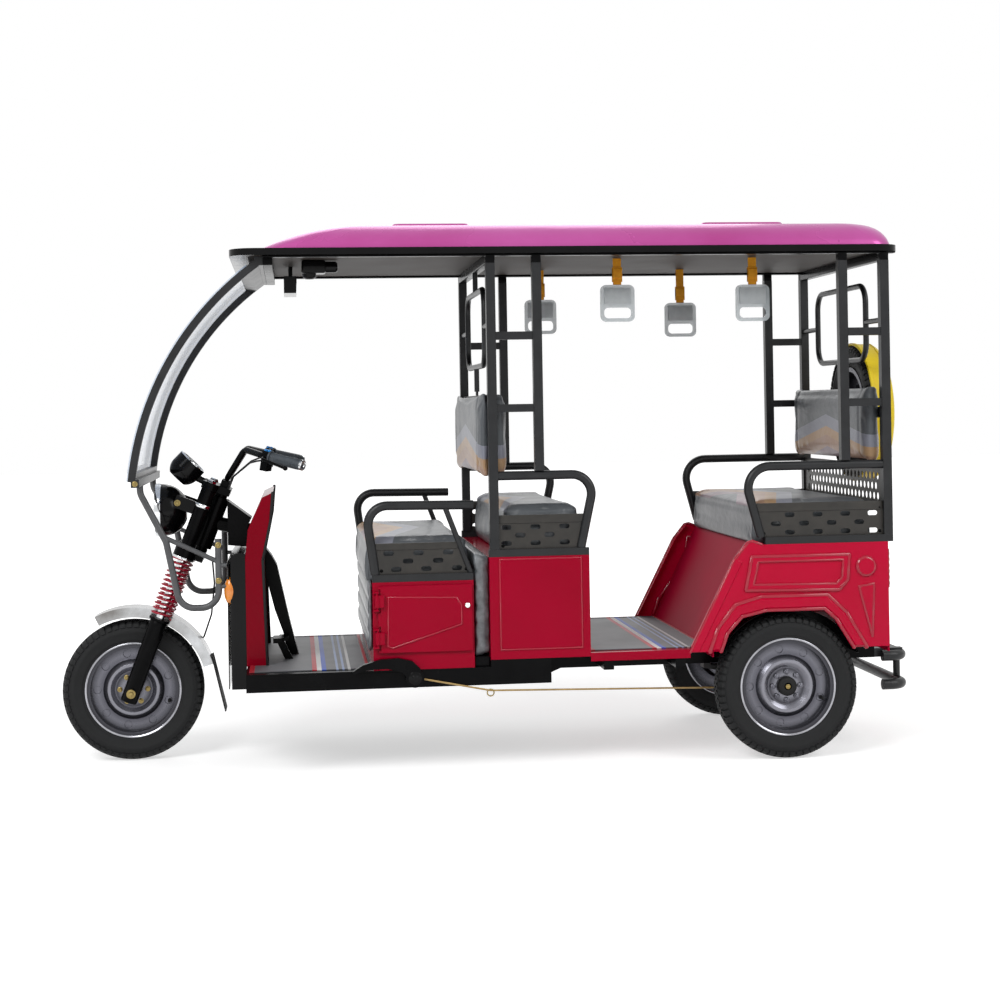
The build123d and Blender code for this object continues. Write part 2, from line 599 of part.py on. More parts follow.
SCREEN_STILE = 22.0
half_band = SCREEN_BAND / 2
hoop_top = SCREEN_FOOT_Z - 18
frame = screen_band(screen_r - half_band, screen_r + half_band, -SCREEN_HALF, SCREEN_HALF)
stile_in = SCREEN_HALF - SCREEN_STILE
hole = block(-200, screen_top[0] + 148, -stile_in, stile_in, screen_low[1] + 26, screen_top[1] - 30)
foot_x, foot_z = screen_low
foot_rail = block(foot_x - 2, foot_x + 24, -SCREEN_HALF, SCREEN_HALF, hoop_top, foot_z + 8)
head_rail = block(screen_top[0] - 8, screen_top[0] + 19, -SCREEN_HALF, SCREEN_HALF, ROOF_RAIL_LOW, LINING_Z)
save("windscreen_frame", frame - hole + foot_rail + head_rail)
glass_half = SCREEN_HALF - 8
glass_in = screen_r + half_band
glass = screen_band(glass_in, glass_in + GLASS, -glass_half, glass_half)
glass_end = block(-300, screen_top[0] + 400, -600, 600, ROOF_RAIL_LOW, ROOF_RAIL_LOW + 400)
save("windscreen_glass", glass - glass_end - foot_rail)

# Guard hoops from the screen's foot down and back to the apron
HOOP_BEND = 58.0
hoop_x = apron_x - 27
hoop = tube([
    (54, HOOP_Y, hoop_top), (54, HOOP_Y, hoop_top - 26), (136, HOOP_Y, hoop_top - 188),
    (180, HOOP_Y, hoop_top - 409),
    (hoop_x, HOOP_Y, hoop_top - 409), (hoop_x, HOOP_Y, hoop_top - 182),
], HOOP_R, HOOP_BEND)
hoop += rod((133, HOOP_Y, hoop_top - 174), (hoop_x, HOOP_Y, hoop_top - 258), 8)
for drop in (340, 270):
    hoop += rod((hoop_x, HOOP_Y, hoop_top - drop), (apron_x, HOOP_Y, hoop_top - drop), 7)
save("guard_hoops", pair(hoop))

# Driver's box, with the locker door lapped over an opening in its left side
body_in = BODY_HALF - SHEET
door_x0 = DRIVER_X0 + DOOR_FRONT
door_x1 = DRIVER_X1 - DOOR_REAR
door_z0 = FRONT_FLOOR_Z + DOOR_LOW
door_z1 = DRIVER_TOP - DOOR_TOP
door_y = -BODY_HALF - DOOR_GAP
driver_box = block(DRIVER_X0, DRIVER_X1, -BODY_HALF, BODY_HALF, FRONT_FLOOR_Z, DRIVER_TOP)
driver_box -= block(DRIVER_X0 + SHEET, DRIVER_X1 - SHEET, -body_in, body_in, 0, DRIVER_TOP - SHEET)
driver_box -= block(
    door_x0 + DOOR_LAP, door_x1 - DOOR_LAP, -BODY_HALF - 1, -body_in + 1,
    door_z0 + DOOR_LAP, door_z1 - DOOR_LAP,
)
hinge_x = door_x0 - 3
hinge_y = -BODY_HALF - HINGE_OUT
door = block(door_x0, door_x1, door_y - SHEET, door_y, door_z0, door_z1)
door_form = outline([
    (door_x0 + 34, door_z1 - 36), (door_x1 - 52, door_z1 - 42), (door_x1 - 36, door_z1 - 66),
    (door_x1 - 36, door_z1 - 128), (door_x0 + 46, door_z0 + 16), (door_x0 + 30, door_z0 + 22),
])
door += mirror(pressed(door_form, -(door_y - SHEET), EMBOSS), about=Plane.XZ)
door += Pos(door_x1 - 16, door_y - SHEET - 2, door_z1 - 68) * Rot(90, 0, 0) * Cylinder(9, 8)
for z in (door_z0 + HINGE_INSET, door_z1 - HINGE_INSET):
    driver_box += upright(hinge_x, hinge_y, z - SLEEVE_HALF - 12, z + SLEEVE_HALF + 12, PIN_R)
    for low in (z - SLEEVE_HALF - 12, z + SLEEVE_HALF + 6):
        driver_box += block(hinge_x - 12, hinge_x + 5, hinge_y - 5, -BODY_HALF, low, low + 6)
        door -= block(door_x0 - 1, hinge_x + 11, -BODY_HALF - 40, -BODY_HALF, low - 6, low + 12)
    leaf = upright(hinge_x, hinge_y, z - SLEEVE_HALF, z + SLEEVE_HALF, SLEEVE_R)
    leaf += block(hinge_x, door_x0 + 20, hinge_y - 3, door_y - SHEET, z - SLEEVE_HALF, z + SLEEVE_HALF)
    door += leaf
    door -= upright(hinge_x, hinge_y, z - SLEEVE_HALF - 1, z + SLEEVE_HALF + 1, PIN_R + RUN_FIT)
save("driver_box", driver_box)
save("driver_box_door", door)


def seat_rails(x0, x1, z0):
    return pair(block(x0, x1, BODY_HALF - SEAT_RAIL, BODY_HALF, z0, z0 + SEAT_RAIL))


def slotted(points, slots):
    # A guard plate and its slots, both on the tube's centre plane.
    plate = panel(points, SIDE_Y - SHEET / 2, SIDE_Y + SHEET / 2)
    cuts = [prism(Pos(x, z) * SlotOverall(SLOT_L, SLOT_H), SIDE_Y - 5, SIDE_Y + 5) for x, z in slots]
    return plate - cuts


def above(shape, z):
    return shape & block(0, REAR_END + 400, 0, BODY_HALF + 100, z, z + 2000)


rails = seat_rails(DRIVER_X0, DRIVER_X1, DRIVER_TOP)
rails += seat_rails(MID_X0, MID_X1, MID_TOP)
rails += seat_rails(REAR_X1 - 420, REAR_POST_X + TUBE / 2, REAR_TOP)
save("seat_rails", rails)

# Guard plates and the armrest tubes that frame them, with each seat's rail as the foot
d_rail = DRIVER_TOP + SEAT_RAIL
driver_arm = tube([
    (DRIVER_X0 + 11, SIDE_Y, d_rail), (DRIVER_X0 - 19, SIDE_Y, d_rail + 224),
    (DRIVER_X1 + 4, SIDE_Y, d_rail + 220),
], ARM_R, 62)
driver_arm += rod((DRIVER_X1 - 88, SIDE_Y, d_rail + 214), (DRIVER_X1 - 8, SIDE_Y, d_rail), 9)
driver_arm = above(driver_arm, d_rail)
d_slots = [(55, 68), (152, 68), (249, 68), (118, 42), (216, 42), (79, 16), (177, 16), (277, 16)]
plate = slotted([
    (DRIVER_X0 + 21, d_rail), (DRIVER_X0 + 9, d_rail + 100), (DRIVER_X1 - 44, d_rail + 96),
    (DRIVER_X1 - 8, d_rail),
], [(DRIVER_X0 + x, d_rail + z) for x, z in d_slots])
guards = pair(plate - driver_arm)

# Middle seat
mid_box = block(MID_X0, MID_X1, -BODY_HALF, BODY_HALF, MID_LOW, MID_TOP)
mid_box -= block(MID_X0 + SHEET, MID_X1 - SHEET, -body_in, body_in, 0, MID_TOP - SHEET)
mid_form = Pos((MID_X0 + MID_X1) / 2 + 3, (MID_LOW + MID_TOP) / 2 + 12) * RectangleRounded(
    MID_LENGTH - 61, MID_HEIGHT - 40, 12)
save("mid_box", mid_box + pair(pressed(mid_form, BODY_HALF, EMBOSS)))
m_rail = MID_TOP + SEAT_RAIL
post_back = MID_POST_X + TUBE / 2
m_arm_z = m_rail + 240
m_arm = [(post_back, SIDE_Y, m_arm_z), (MID_X1 + 28, SIDE_Y, m_arm_z), (MID_X1 - 25, SIDE_Y, m_rail)]
mid_arm = above(tube(m_arm, ARM_R, 64), m_rail)
m_slots = [(59, 71), (155, 71), (251, 71), (105, 45), (201, 45), (59, 19), (155, 19), (251, 19)]
plate = slotted([
    (post_back, m_rail), (post_back, m_rail + 110), (MID_X1 - 3, m_rail + 110), (MID_X1 - 25, m_rail),
], [(MID_X0 + x, m_rail + z) for x, z in m_slots])
guards += pair(plate - mid_arm)

# Rear seat
r_rail = REAR_TOP + SEAT_RAIL
front_post = REAR_POST_X - TUBE / 2
r_arm_z = r_rail + 235
r_arm = [(front_post, SIDE_Y, r_arm_z), (REAR_X1 - 494, SIDE_Y, r_arm_z), (REAR_X1 - 432, SIDE_Y, r_rail)]
rear_arm = above(tube(r_arm, ARM_R, 74), r_rail)
save("armrests", pair(driver_arm) + pair(mid_arm) + pair(rear_arm))
r_slots = [(x, z) for z in (72, 14) for x in (333, 237, 142, 48)] + [(x, 43) for x in (380, 284, 189, 94)]
plate = slotted([
    (REAR_X1 - 432, r_rail), (REAR_X1 - 462, r_rail + 112), (front_post, r_rail + 110), (front_post, r_rail),
], [(REAR_X1 - x, r_rail + z) for x, z in r_slots])
guards += pair(plate - rear_arm)
save("seat_guards", guards)

# Cushions and backrests: plain solids that keep their places
PAD_GAP = 4.0
CUSHION_SIDE = 4.0
cushion_half = SIDE_Y - ARM_R - CUSHION_SIDE
pad_half = SIDE_Y - TUBE / 2 - 3
back_low = m_rail + 228
back_top = m_rail + 521
save("seat_cushions", [
    block(x0, x1, -cushion_half, cushion_half, z, z + thick) for x0, x1, z, thick in (
        (DRIVER_X0 - 35, DRIVER_X1 + 2, DRIVER_TOP, 142), (MID_X0 + 39, MID_X1 - 13, MID_TOP, 166),
        (REAR_X1 - 468, REAR_X1 - 30, REAR_TOP, 144),
    )
])
save("backrests", [
    block(x0, x1, -pad_half, pad_half, z0, z1) for x0, x1, z0, z1 in (
        (MID_POST_X - 36, MID_POST_X - PAD_GAP, back_low, back_top),
        (MID_POST_X + PAD_GAP, MID_POST_X + 46, back_low, back_top),
        (REAR_X1 - 52, front_post + 6, r_rail + 233, r_rail + 508),
    )
])
inside = SIDE_Y - TUBE / 2
board = block(MID_POST_X - PAD_GAP, MID_POST_X + PAD_GAP, -inside, inside, back_low + 20, back_top - 14)
HOLE_R = 13.0
HOLE_STEP = 40.0
hole_count = int((inside - HOLE_R) // HOLE_STEP)
holes = [
    Pos(HOLE_STEP * (i + 0.5 * (row % 2)), 34 * (row - 1)) * Circle(HOLE_R)
    for row in range(3) for i in range(-hole_count, hole_count + 1 - row % 2)
]
back_plate = extrude(Plane.YZ * (Rectangle(2 * inside, 150) - holes), amount=SHEET)
save("back_plates", [board, Pos(front_post + 6, 0, r_rail + 158) * back_plate])


# Canopy frame
def post(x, z0):
    half = TUBE / 2
    return block(x - half, x + half, SIDE_Y - half, SIDE_Y + half, z0, ROOF_RAIL_LOW)


posts = pair(post(MID_POST_X, m_rail)) + pair(post(MID_BAR_X, m_arm_z + ARM_R))
posts += pair(post(REAR_POST_X, r_rail)) + pair(post(REAR_BAR_X, r_arm_z + ARM_R))
save("canopy_posts", posts)
rungs = []
for x0, x1 in ((MID_POST_X, MID_BAR_X), (REAR_BAR_X, REAR_POST_X)):
    for drop in (RUNG_DROP, RUNG_DROP + RUNG_STEP):
        z = ROOF_RAIL_LOW - drop
        rungs += pair(block(
            x0 + TUBE / 2, x1 - TUBE / 2, SIDE_Y - RUNG_HALF, SIDE_Y + RUNG_HALF,
            z - RUNG_HALF, z + RUNG_HALF))
save("post_rungs", rungs)
roof_rails = pair(block(SCREEN_HEAD_X + 18, ROOF_REAR - 20, inside, BODY_HALF, ROOF_RAIL_LOW, LINING_Z))
beams = [
    block(x - TUBE / 2, x + TUBE / 2, -inside, inside, ROOF_RAIL_LOW, LINING_Z)
    for x in (SCREEN_HEAD_X + 34, MID_POST_X, REAR_POST_X)
]
save("roof_frame", beams[0] + beams[1:] + roof_rails)


def ring(x):
    # A tube bent to a rounded loop across the vehicle, with a stub to the post at each side.
    top = ROOF_RAIL_LOW - RING_DROP - RING_R
    middle = top + RING_R - RING_HEIGHT / 2
    edge = RectangleRounded(2 * RING_HALF, RING_HEIGHT - 2 * RING_R, 62).wire()
    path = Plane(origin=(x, 0, middle), x_dir=(0, 1, 0), z_dir=(1, 0, 0)) * edge
    loop = sweep(Plane(origin=path @ 0, z_dir=path % 0) * Circle(RING_R), path=path)
    for side in SIDES:
        loop += rod((x, side * (RING_HALF + 4), middle), (x, side * inside, middle), RING_R - 1)
    return loop


ring_top = ROOF_RAIL_LOW - RING_DROP - RING_R
ring_low = ring_top + 2 * RING_R - RING_HEIGHT
mid_ring = ring(MID_POST_X)
mid_ring += rod((MID_POST_X, 0, ring_top), (MID_POST_X, 0, ROOF_RAIL_LOW), RING_R - 1)
mid_ring += rod((MID_POST_X, 0, back_top - 14), (MID_POST_X, 0, ring_low), RING_R - 1)
pad_room = [
    block(MID_POST_X + s * 32 - 28, MID_POST_X + s * 32 + 28, -60, 60, back_low - 52, back_top) for s in SIDES
]
save("head_hoops", [mid_ring - pad_room, ring(REAR_POST_X)])


# Roof
def roof_plan(front, edge):
    x0 = ROOF_FRONT + front
    x1 = ROOF_REAR - edge
    return Pos((x0 + x1) / 2, 0) * RectangleRounded(x1 - x0, 2 * (ROOF_HALF - edge), 80 - edge)


# Roof sections: height above the lining, inset at the front, at the rear and at the sides, corner radius
ROOF_SECTIONS = (
    (LINING, ROOF_LIP + 2, TRIM_W + 4, TRIM_W + 2, 68),
    (48, 150, 22, 24, 84),
    (82, 236, 38, 62, 100),
    (ROOF_RISE, 330, 70, 124, 120),
)


def roof_solid(thick):
    layers = []
    for z, front, rear, side, corner in ROOF_SECTIONS:
        x0, x1 = ROOF_FRONT + front + thick, ROOF_REAR - rear - thick
        drop = 0 if z == LINING else thick
        plan = RectangleRounded(x1 - x0, 2 * (ROOF_HALF - side - thick), corner - thick)
        layers.append(Pos((x0 + x1) / 2, 0, LINING_Z + z - drop) * plan)
    return loft(layers)


roof = roof_solid(0)
for x, length in ((ROOF_FRONT + 666, 245), (SLANT_FOOT + 245, 270)):
    rib = Pos(x, 0, SHOULDER_Z - 2) * RectangleRounded(length + 40, 2 * RIB_HALF, 40)
    roof += extrude(rib, amount=RIB_RISE + 2, taper=50)
save("roof_shell", roof - roof_solid(SHELL))
trim = extrude(roof_plan(0, 0), amount=TRIM_H) - extrude(roof_plan(ROOF_LIP, TRIM_W), amount=TRIM_H)
save("roof_trim", Pos(0, 0, LINING_Z) * trim)
save("roof_lining", Pos(0, 0, LINING_Z) * extrude(roof_plan(ROOF_LIP, TRIM_W), amount=LINING))

# Hanging handles: station, side, drop from the lining to the handle's top
HANDLES = (
    (MID_X1 + 151, -250, 90),
    (REAR_AXLE_X - 44, -250, 93),
    (MID_X1 - 45, 250, 108),
    (SLANT_FOOT + 147, 250, 124),
)
STRAP_HALF = 14.0
straps = []
handles = []
for x, y, drop in HANDLES:
    top = LINING_Z - drop
    straps.append(block(x - STRAP_HALF, x + STRAP_HALF, y - 3, y + 3, top, LINING_Z))
    straps[-1] += block(x - STRAP_HALF - 3, x + STRAP_HALF + 3, y - 6, y + 6, top + 10, top + 60)
    plate = RectangleRounded(HANDLE_W, HANDLE_H, 20)
    grip_hole = RectangleRounded(HANDLE_W - 2 * HANDLE_BAR, HANDLE_GRIP, 14)
    plate -= Pos(0, HANDLE_BAR + HANDLE_GRIP / 2 - HANDLE_H / 2) * grip_hole
    handles.append(prism(Pos(x, top - HANDLE_H / 2) * plate, y - HANDLE_HALF, y + HANDLE_HALF))
save("handle_straps", straps)
save("hanging_handles", handles)
MIRROR_HALF = 110.0
mirror_x = SCREEN_HEAD_X + 105
mirror_z = ROOF_RAIL_LOW - 10
mirror_case = block(mirror_x - 21, mirror_x + 21, -MIRROR_HALF, MIRROR_HALF, mirror_z - 58, mirror_z)
save("inside_mirror", block(mirror_x - 5, mirror_x + 9, -8, 8, mirror_z, LINING_Z) + mirror_case)

# Rear sides: outline and pressings, from the rear axle along X and from the sill or the seat's top in Z
sill = REAR_FLOOR_Z - 10


def by_axle(points, z0):
    return [(REAR_AXLE_X + x, z0 + z) for x, z in points]


arch = by_axle([(-233, 0), (-211, 60), (-161, 114), (-77, 133), (121, 133), (161, 98), (221, 0)], sill)
lip_out = by_axle([(-269, 0), (-241, 76), (-181, 152), (-93, 177), (133, 177), (197, 116), (265, 0)], sill)
nose = by_axle([(-87, 0), (-119, 12), (-135, 8), (-179, -46)], REAR_TOP)
side_points = [(SLANT_FOOT, sill)] + arch + [(REAR_X1, sill), (REAR_X1, REAR_TOP)] + nose
border = [(SLANT_FOOT, sill), (SLANT_FOOT + 30, sill)] + by_axle([(-154, -56), (-179, -46)], REAR_TOP)
frame_form = outline(by_axle([(-123, -40), (209, -40), (203, -122), (173, -156), (-145, -150)], REAR_TOP))
recess = outline(by_axle([(-102, -56), (188, -56), (184, -114), (164, -136), (-120, -132)], REAR_TOP))
wedge = outline(by_axle([(243, -148), (293, -140), (285, -314)], REAR_TOP))
LIP_RISE = 10.0
rear_side = panel(side_points, body_in, BODY_HALF)
rear_side += pressed(outline(lip_out + list(reversed(arch))), BODY_HALF, LIP_RISE)
rear_side += pressed(outline(border), BODY_HALF, EMBOSS - 1)
rear_side += pressed(frame_form, BODY_HALF, EMBOSS + 2) - prism(recess, BODY_HALF + 1, BODY_HALF + 20)
rear_side += pressed(wedge, BODY_HALF, EMBOSS)
rear_side += Pos(REAR_AXLE_X + 267, BODY_HALF + 4, REAR_TOP - 81) * Rot(-90, 0, 0) * Cone(34, 27, 8)
edge = [(SLANT_FOOT + 6, REAR_FLOOR_Z + 6)] + by_axle([(-179, -46), (-135, 8)], REAR_TOP)
fold = panel(edge + [(x + 4, z - 2) for x, z in reversed(edge)], BODY_HALF - 26, body_in)
save("rear_sides", pair(rear_side + fold))
lip_x = REAR_AXLE_X - 93
seat_shell = panel([
    (SEAT_FOOT, REAR_RAIL_TOP), (SEAT_FOOT + 4, REAR_RAIL_TOP), (SEAT_FOOT + 4, REAR_FLOOR_Z),
    (lip_x + 4, REAR_TOP - 4),
    (REAR_X1 - 4, REAR_TOP - 4), (REAR_X1 - 4, REAR_TOP), (lip_x, REAR_TOP), (SEAT_FOOT, REAR_FLOOR_Z),
], -body_in, body_in)
seat_shell += block(REAR_X1 - 4, REAR_X1, -body_in, body_in, REAR_RAIL_TOP, REAR_TOP)
save("rear_seat_shell", seat_shell)
tail_lamp = block(REAR_X1, REAR_X1 + 14, BODY_HALF - 112, BODY_HALF - 32, REAR_TOP - 158, REAR_TOP - 28)
save("tail_lamps", pair(tail_lamp))

# Spare wheel, axle along X, under a moulded cover
spare_x = REAR_POST_X + 65
spare_z = REAR_TOP + SPARE_RISE
spare_turn = Pos(spare_x, 0, spare_z) * Rot(0, 0, -90)
save("spare_tyre", spare_turn * make_tyre(SPARE_HALF))
save("spare_rim", spare_turn * make_rim())
cover_r = TYRE_R + 1
cover_a = SPARE_HALF + 3


def cover_profile(extra):
    # The cover's section with the sheet added: rim, rounded shoulder, then a slightly crowned face.
    r, a, turn = cover_r + extra, cover_a + extra, SPARE_HALF - 14
    return (
        Line((-30, 0), (-30, r))
        + Line((-30, r), (turn, r))
        + ThreePointArc((turn, r), (a - 4, r - 9), (a, cover_r - 41))
        + ThreePointArc((a, cover_r - 41), (a + 6, cover_r / 2), (a + 8, 40))
        + Line((a + 8, 40), (a + 8, 0))
        + Line((a + 8, 0), (-30, 0))
    )


cover_face = make_face(cover_profile(COVER_SHEET)) - make_face(cover_profile(0))
save("spare_cover", spare_turn * turned(cover_face))
hub_face = spare_x + HUB_FACE
carrier = block(REAR_POST_X - 6, REAR_POST_X + 15, -inside, inside, spare_z - 18, spare_z + 18)
carrier += rod((REAR_POST_X, 0, spare_z), (hub_face, 0, spare_z), 58)
save("spare_carrier", carrier)

# Rear bumper: two bent tubes on brackets
bump_x = REAR_END - BUMPER_R
bump_z = REAR_RAIL_LOW + 6
BUMPER_STEP = 98.0
bars = [
    tube([(REAR_X1 + 22, -BUMPER_HALF, z), (bump_x, -BUMPER_HALF, z), (bump_x, BUMPER_HALF, z),
          (REAR_X1 + 22, BUMPER_HALF, z)], BUMPER_R, 52)
    for z in (bump_z, bump_z - BUMPER_STEP)
]
bumper = bars[0] + bars[1]
for side in SIDES:
    y = side * min(RAIL_Y, BUMPER_HALF - 35)
    bumper += rod((bump_x, side * 250, bump_z - BUMPER_STEP), (bump_x, side * 250, bump_z), 12)
    bumper += block(REAR_X1, bump_x, y - 15, y + 15, REAR_RAIL_LOW, REAR_RAIL_LOW + 30)
save("rear_bumper", bumper)

# Rear axle, motor and springs
axle_reach = TRACK / 2 + HUB_BACK - AXLE_GAP
AXLE_R = 28.0
rear_axle = rod((REAR_AXLE_X, -axle_reach, TYRE_R), (REAR_AXLE_X, axle_reach, TYRE_R), AXLE_R)
stub_reach = TRACK / 2 + HUB_FACE + CAP_RISE - 14
rear_axle += rod((REAR_AXLE_X, -stub_reach, TYRE_R), (REAR_AXLE_X, stub_reach, TYRE_R), STUB_R)
rear_axle += Pos(REAR_AXLE_X, 70, TYRE_R) * Sphere(84)
rear_axle += rod((REAR_AXLE_X, -190, TYRE_R), (REAR_AXLE_X, 20, TYRE_R), 76)
lug_y = -RAIL_Y - 30
rear_axle += block(REAR_AXLE_X - 60, REAR_AXLE_X - 18, lug_y - 8, lug_y + 8, TYRE_R - 28, TYRE_R - 8)
save("rear_axle", rear_axle)
LEAF = 24.0
LEAF_HALF = 25.0
LEAF_FRONT = 255.0
spring_low = TYRE_R + AXLE_R
eye_z = REAR_RAIL_LOW - 16
leaf_x0, leaf_x1 = REAR_AXLE_X - LEAF_FRONT, REAR_AXLE_X + LEAF_FRONT
leaf = prism(make_face([
    ThreePointArc((leaf_x0, eye_z), (REAR_AXLE_X, spring_low), (leaf_x1, eye_z)),
    Line((leaf_x1, eye_z), (leaf_x1, eye_z + 12)),
    ThreePointArc((leaf_x1, eye_z + 12), (REAR_AXLE_X, spring_low + LEAF), (leaf_x0, eye_z + 12)),
    Line((leaf_x0, eye_z + 12), (leaf_x0, eye_z)),
]), RAIL_Y - LEAF_HALF, RAIL_Y + LEAF_HALF)
for x in (leaf_x0, leaf_x1 - LEAF):
    leaf += block(x, x + LEAF, RAIL_Y - LEAF_HALF, RAIL_Y + LEAF_HALF, eye_z, REAR_RAIL_LOW)
save("leaf_springs", pair(leaf))

# Hand brake beside the driver's box
LEVER_OUT = 27.0
pivot_x = DRIVER_X0 + 132
pivot_z = RAIL_LOW + 33
lever_form = outline([(pivot_x + x, pivot_z + z) for x, z in (
    (-203, 26), (-196, 18), (-150, 32), (-90, 34), (-40, 20), (-12, -14), (22, -10), (18, 30), (-8, 56),
    (-52, 66), (-110, 64), (-168, 48),
)])
lever_form = fillet(lever_form.vertices(), 5)
hand_lever = prism(lever_form, -BODY_HALF - LEVER_OUT, -BODY_HALF - 6)
hand_lever += Pos(pivot_x, -BODY_HALF - LEVER_OUT / 2, pivot_z) * Rot(90, 0, 0) * Cylinder(30, LEVER_OUT)
save("handbrake_lever", hand_lever)
cable_y = -BODY_HALF - 8
save("handbrake_cable", tube([
    (pivot_x + 30.4, cable_y, pivot_z - 6), (MID_X0 - 4, cable_y, pivot_z - 50),
    (REAR_AXLE_X - 60.6, lug_y, TYRE_R - 18),
], CABLE_R, 40))
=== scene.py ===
import math
import bpy
import bmesh
from mathutils import Matrix, Vector


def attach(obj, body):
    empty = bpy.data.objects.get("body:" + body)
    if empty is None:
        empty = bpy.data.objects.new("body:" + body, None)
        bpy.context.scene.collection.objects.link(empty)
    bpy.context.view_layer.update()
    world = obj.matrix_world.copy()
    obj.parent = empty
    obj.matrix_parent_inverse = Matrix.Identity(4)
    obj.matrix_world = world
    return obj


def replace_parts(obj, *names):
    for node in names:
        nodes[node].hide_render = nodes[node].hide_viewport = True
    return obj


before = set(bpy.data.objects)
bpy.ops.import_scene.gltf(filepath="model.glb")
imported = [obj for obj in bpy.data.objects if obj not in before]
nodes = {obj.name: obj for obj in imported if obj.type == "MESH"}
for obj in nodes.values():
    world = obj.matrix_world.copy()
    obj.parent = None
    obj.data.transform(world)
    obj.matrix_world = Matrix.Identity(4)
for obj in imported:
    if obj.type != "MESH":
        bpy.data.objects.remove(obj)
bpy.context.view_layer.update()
scene = bpy.context.scene
scene.view_settings.view_transform = "Standard"

MM = 0.001
# Stations count back from the front axle in millimetres; AXLE_X is where that axle lies, in metres.
AXLE_X = -1.205
REAR_AXLE = 2185.0
TYRE_RADIUS = 240.0
ALONG = Vector((1, 0, 0))
ACROSS = Vector((0, 1, 0))
UP = Vector((0, 0, 1))
SIDES = (-1, 1)

# Camera at the photograph's place: 6.2 m to the left side, turned a little to the rear
CAMERA_SPOT = (-0.646, -6.214, 1.185)
CAMERA_TURN = math.radians(6.68)
CAMERA_ROLL = math.radians(0.98)
FOCAL_PIXELS = 1770.0
HORIZON_PIXEL = 408.3
IMAGE_PIXELS = 1000.0

camera_data = bpy.data.cameras.new("camera")
camera_data.sensor_width = 36.0
camera_data.lens = 36.0 * FOCAL_PIXELS / IMAGE_PIXELS
camera_data.shift_y = (HORIZON_PIXEL - IMAGE_PIXELS / 2) / IMAGE_PIXELS
camera = bpy.data.objects.new("camera", camera_data)
camera.matrix_world = (
    Matrix.Translation(CAMERA_SPOT) @ Matrix.Rotation(-CAMERA_TURN, 4, "Z")
    @ Matrix.Rotation(math.pi / 2, 4, "X") @ Matrix.Rotation(-CAMERA_ROLL, 4, "Z")
)
scene.collection.objects.link(camera)
scene.camera = camera


# Materials
def linear(hex_colour):
    # sRGB hex to the linear values that the shader takes.
    parts = [int(hex_colour[i:i + 2], 16) / 255 for i in (1, 3, 5)]
    return [c / 12.92 if c <= 0.04045 else ((c + 0.055) / 1.055) ** 2.4 for c in parts] + [1.0]


def add(tree, kind, inputs=None, **settings):
    new = tree.nodes.new(kind)
    for name, value in settings.items():
        setattr(new, name, value)
    for name, value in (inputs or {}).items():
        if isinstance(value, bpy.types.NodeSocket):
            tree.links.new(value, new.inputs[name])
        else:
            new.inputs[name].default_value = value
    return new


def blank(name, sockets):
    mat = bpy.data.materials.new(name)
    mat.use_nodes = True
    tree = mat.node_tree
    bsdf = tree.nodes["Principled BSDF"]
    for socket, value in sockets.items():
        bsdf.inputs[socket.replace("_", " ")].default_value = value
    return mat, tree, bsdf, add(tree, "ShaderNodeTexCoord").outputs["Object"]


def surface(tree, bsdf, place, rough, rough_size_mm, bump_mm, bump_size_mm, stretch=(1, 1, 1), edge_mm=0.0):
    # Roughness that wanders, a relief at the grain's own size, and edges rounded in the shading.
    worn = add(tree, "ShaderNodeTexNoise", {
        "Vector": place, "Scale": 1 / (rough_size_mm * MM), "Detail": 5.0})
    span = add(tree, "ShaderNodeMapRange", {
        "Value": worn.outputs["Fac"], "To Min": rough[0], "To Max": rough[1]})
    tree.links.new(span.outputs["Result"], bsdf.inputs["Roughness"])
    if bump_mm:
        laid = add(tree, "ShaderNodeMapping", {"Vector": place, "Scale": stretch})
        fine = add(tree, "ShaderNodeTexNoise", {
            "Vector": laid.outputs["Vector"], "Scale": 1 / (bump_size_mm * MM), "Detail": 3.0})
        relief = add(tree, "ShaderNodeBump", {"Height": fine.outputs["Fac"], "Distance": bump_mm * MM})
        if edge_mm:
            fold = add(tree, "ShaderNodeBevel", {"Radius": edge_mm * MM}, samples=4)
            tree.links.new(fold.outputs["Normal"], relief.inputs["Normal"])
        tree.links.new(relief.outputs["Normal"], bsdf.inputs["Normal"])
    return worn


def fill_ramp(ramp, stops):
    # Stops are position and colour, in order.
    marks = ramp.color_ramp.elements
    while len(marks) < len(stops):
        marks.new(1.0)
    for mark, (position, colour) in zip(marks, stops):
        mark.position = position
        mark.color = linear(colour)


def mottled(name, dark, pale, size_mm, rough, bump_mm=0.0, bump_size_mm=3.0, stretch=(1, 1, 1), edge_mm=0.0,
            **sockets):
    # One colour that wanders between two near tones.
    mat, tree, bsdf, place = blank(name, sockets)
    worn = surface(tree, bsdf, place, rough, size_mm, bump_mm, bump_size_mm, stretch, edge_mm)
    ramp = add(tree, "ShaderNodeValToRGB", {"Fac": worn.outputs["Fac"]})
    fill_ramp(ramp, ((0.3, dark), (0.7, pale)))
    tree.links.new(ramp.outputs["Color"], bsdf.inputs["Base Color"])
    return mat


# Prints: size of their mottling, height over which a plain side turns into the print, and the darkest shade
PRINT_MOTTLE = 90.0
PRINT_BLEND = 6.0
PRINT_SHADE = 0.86


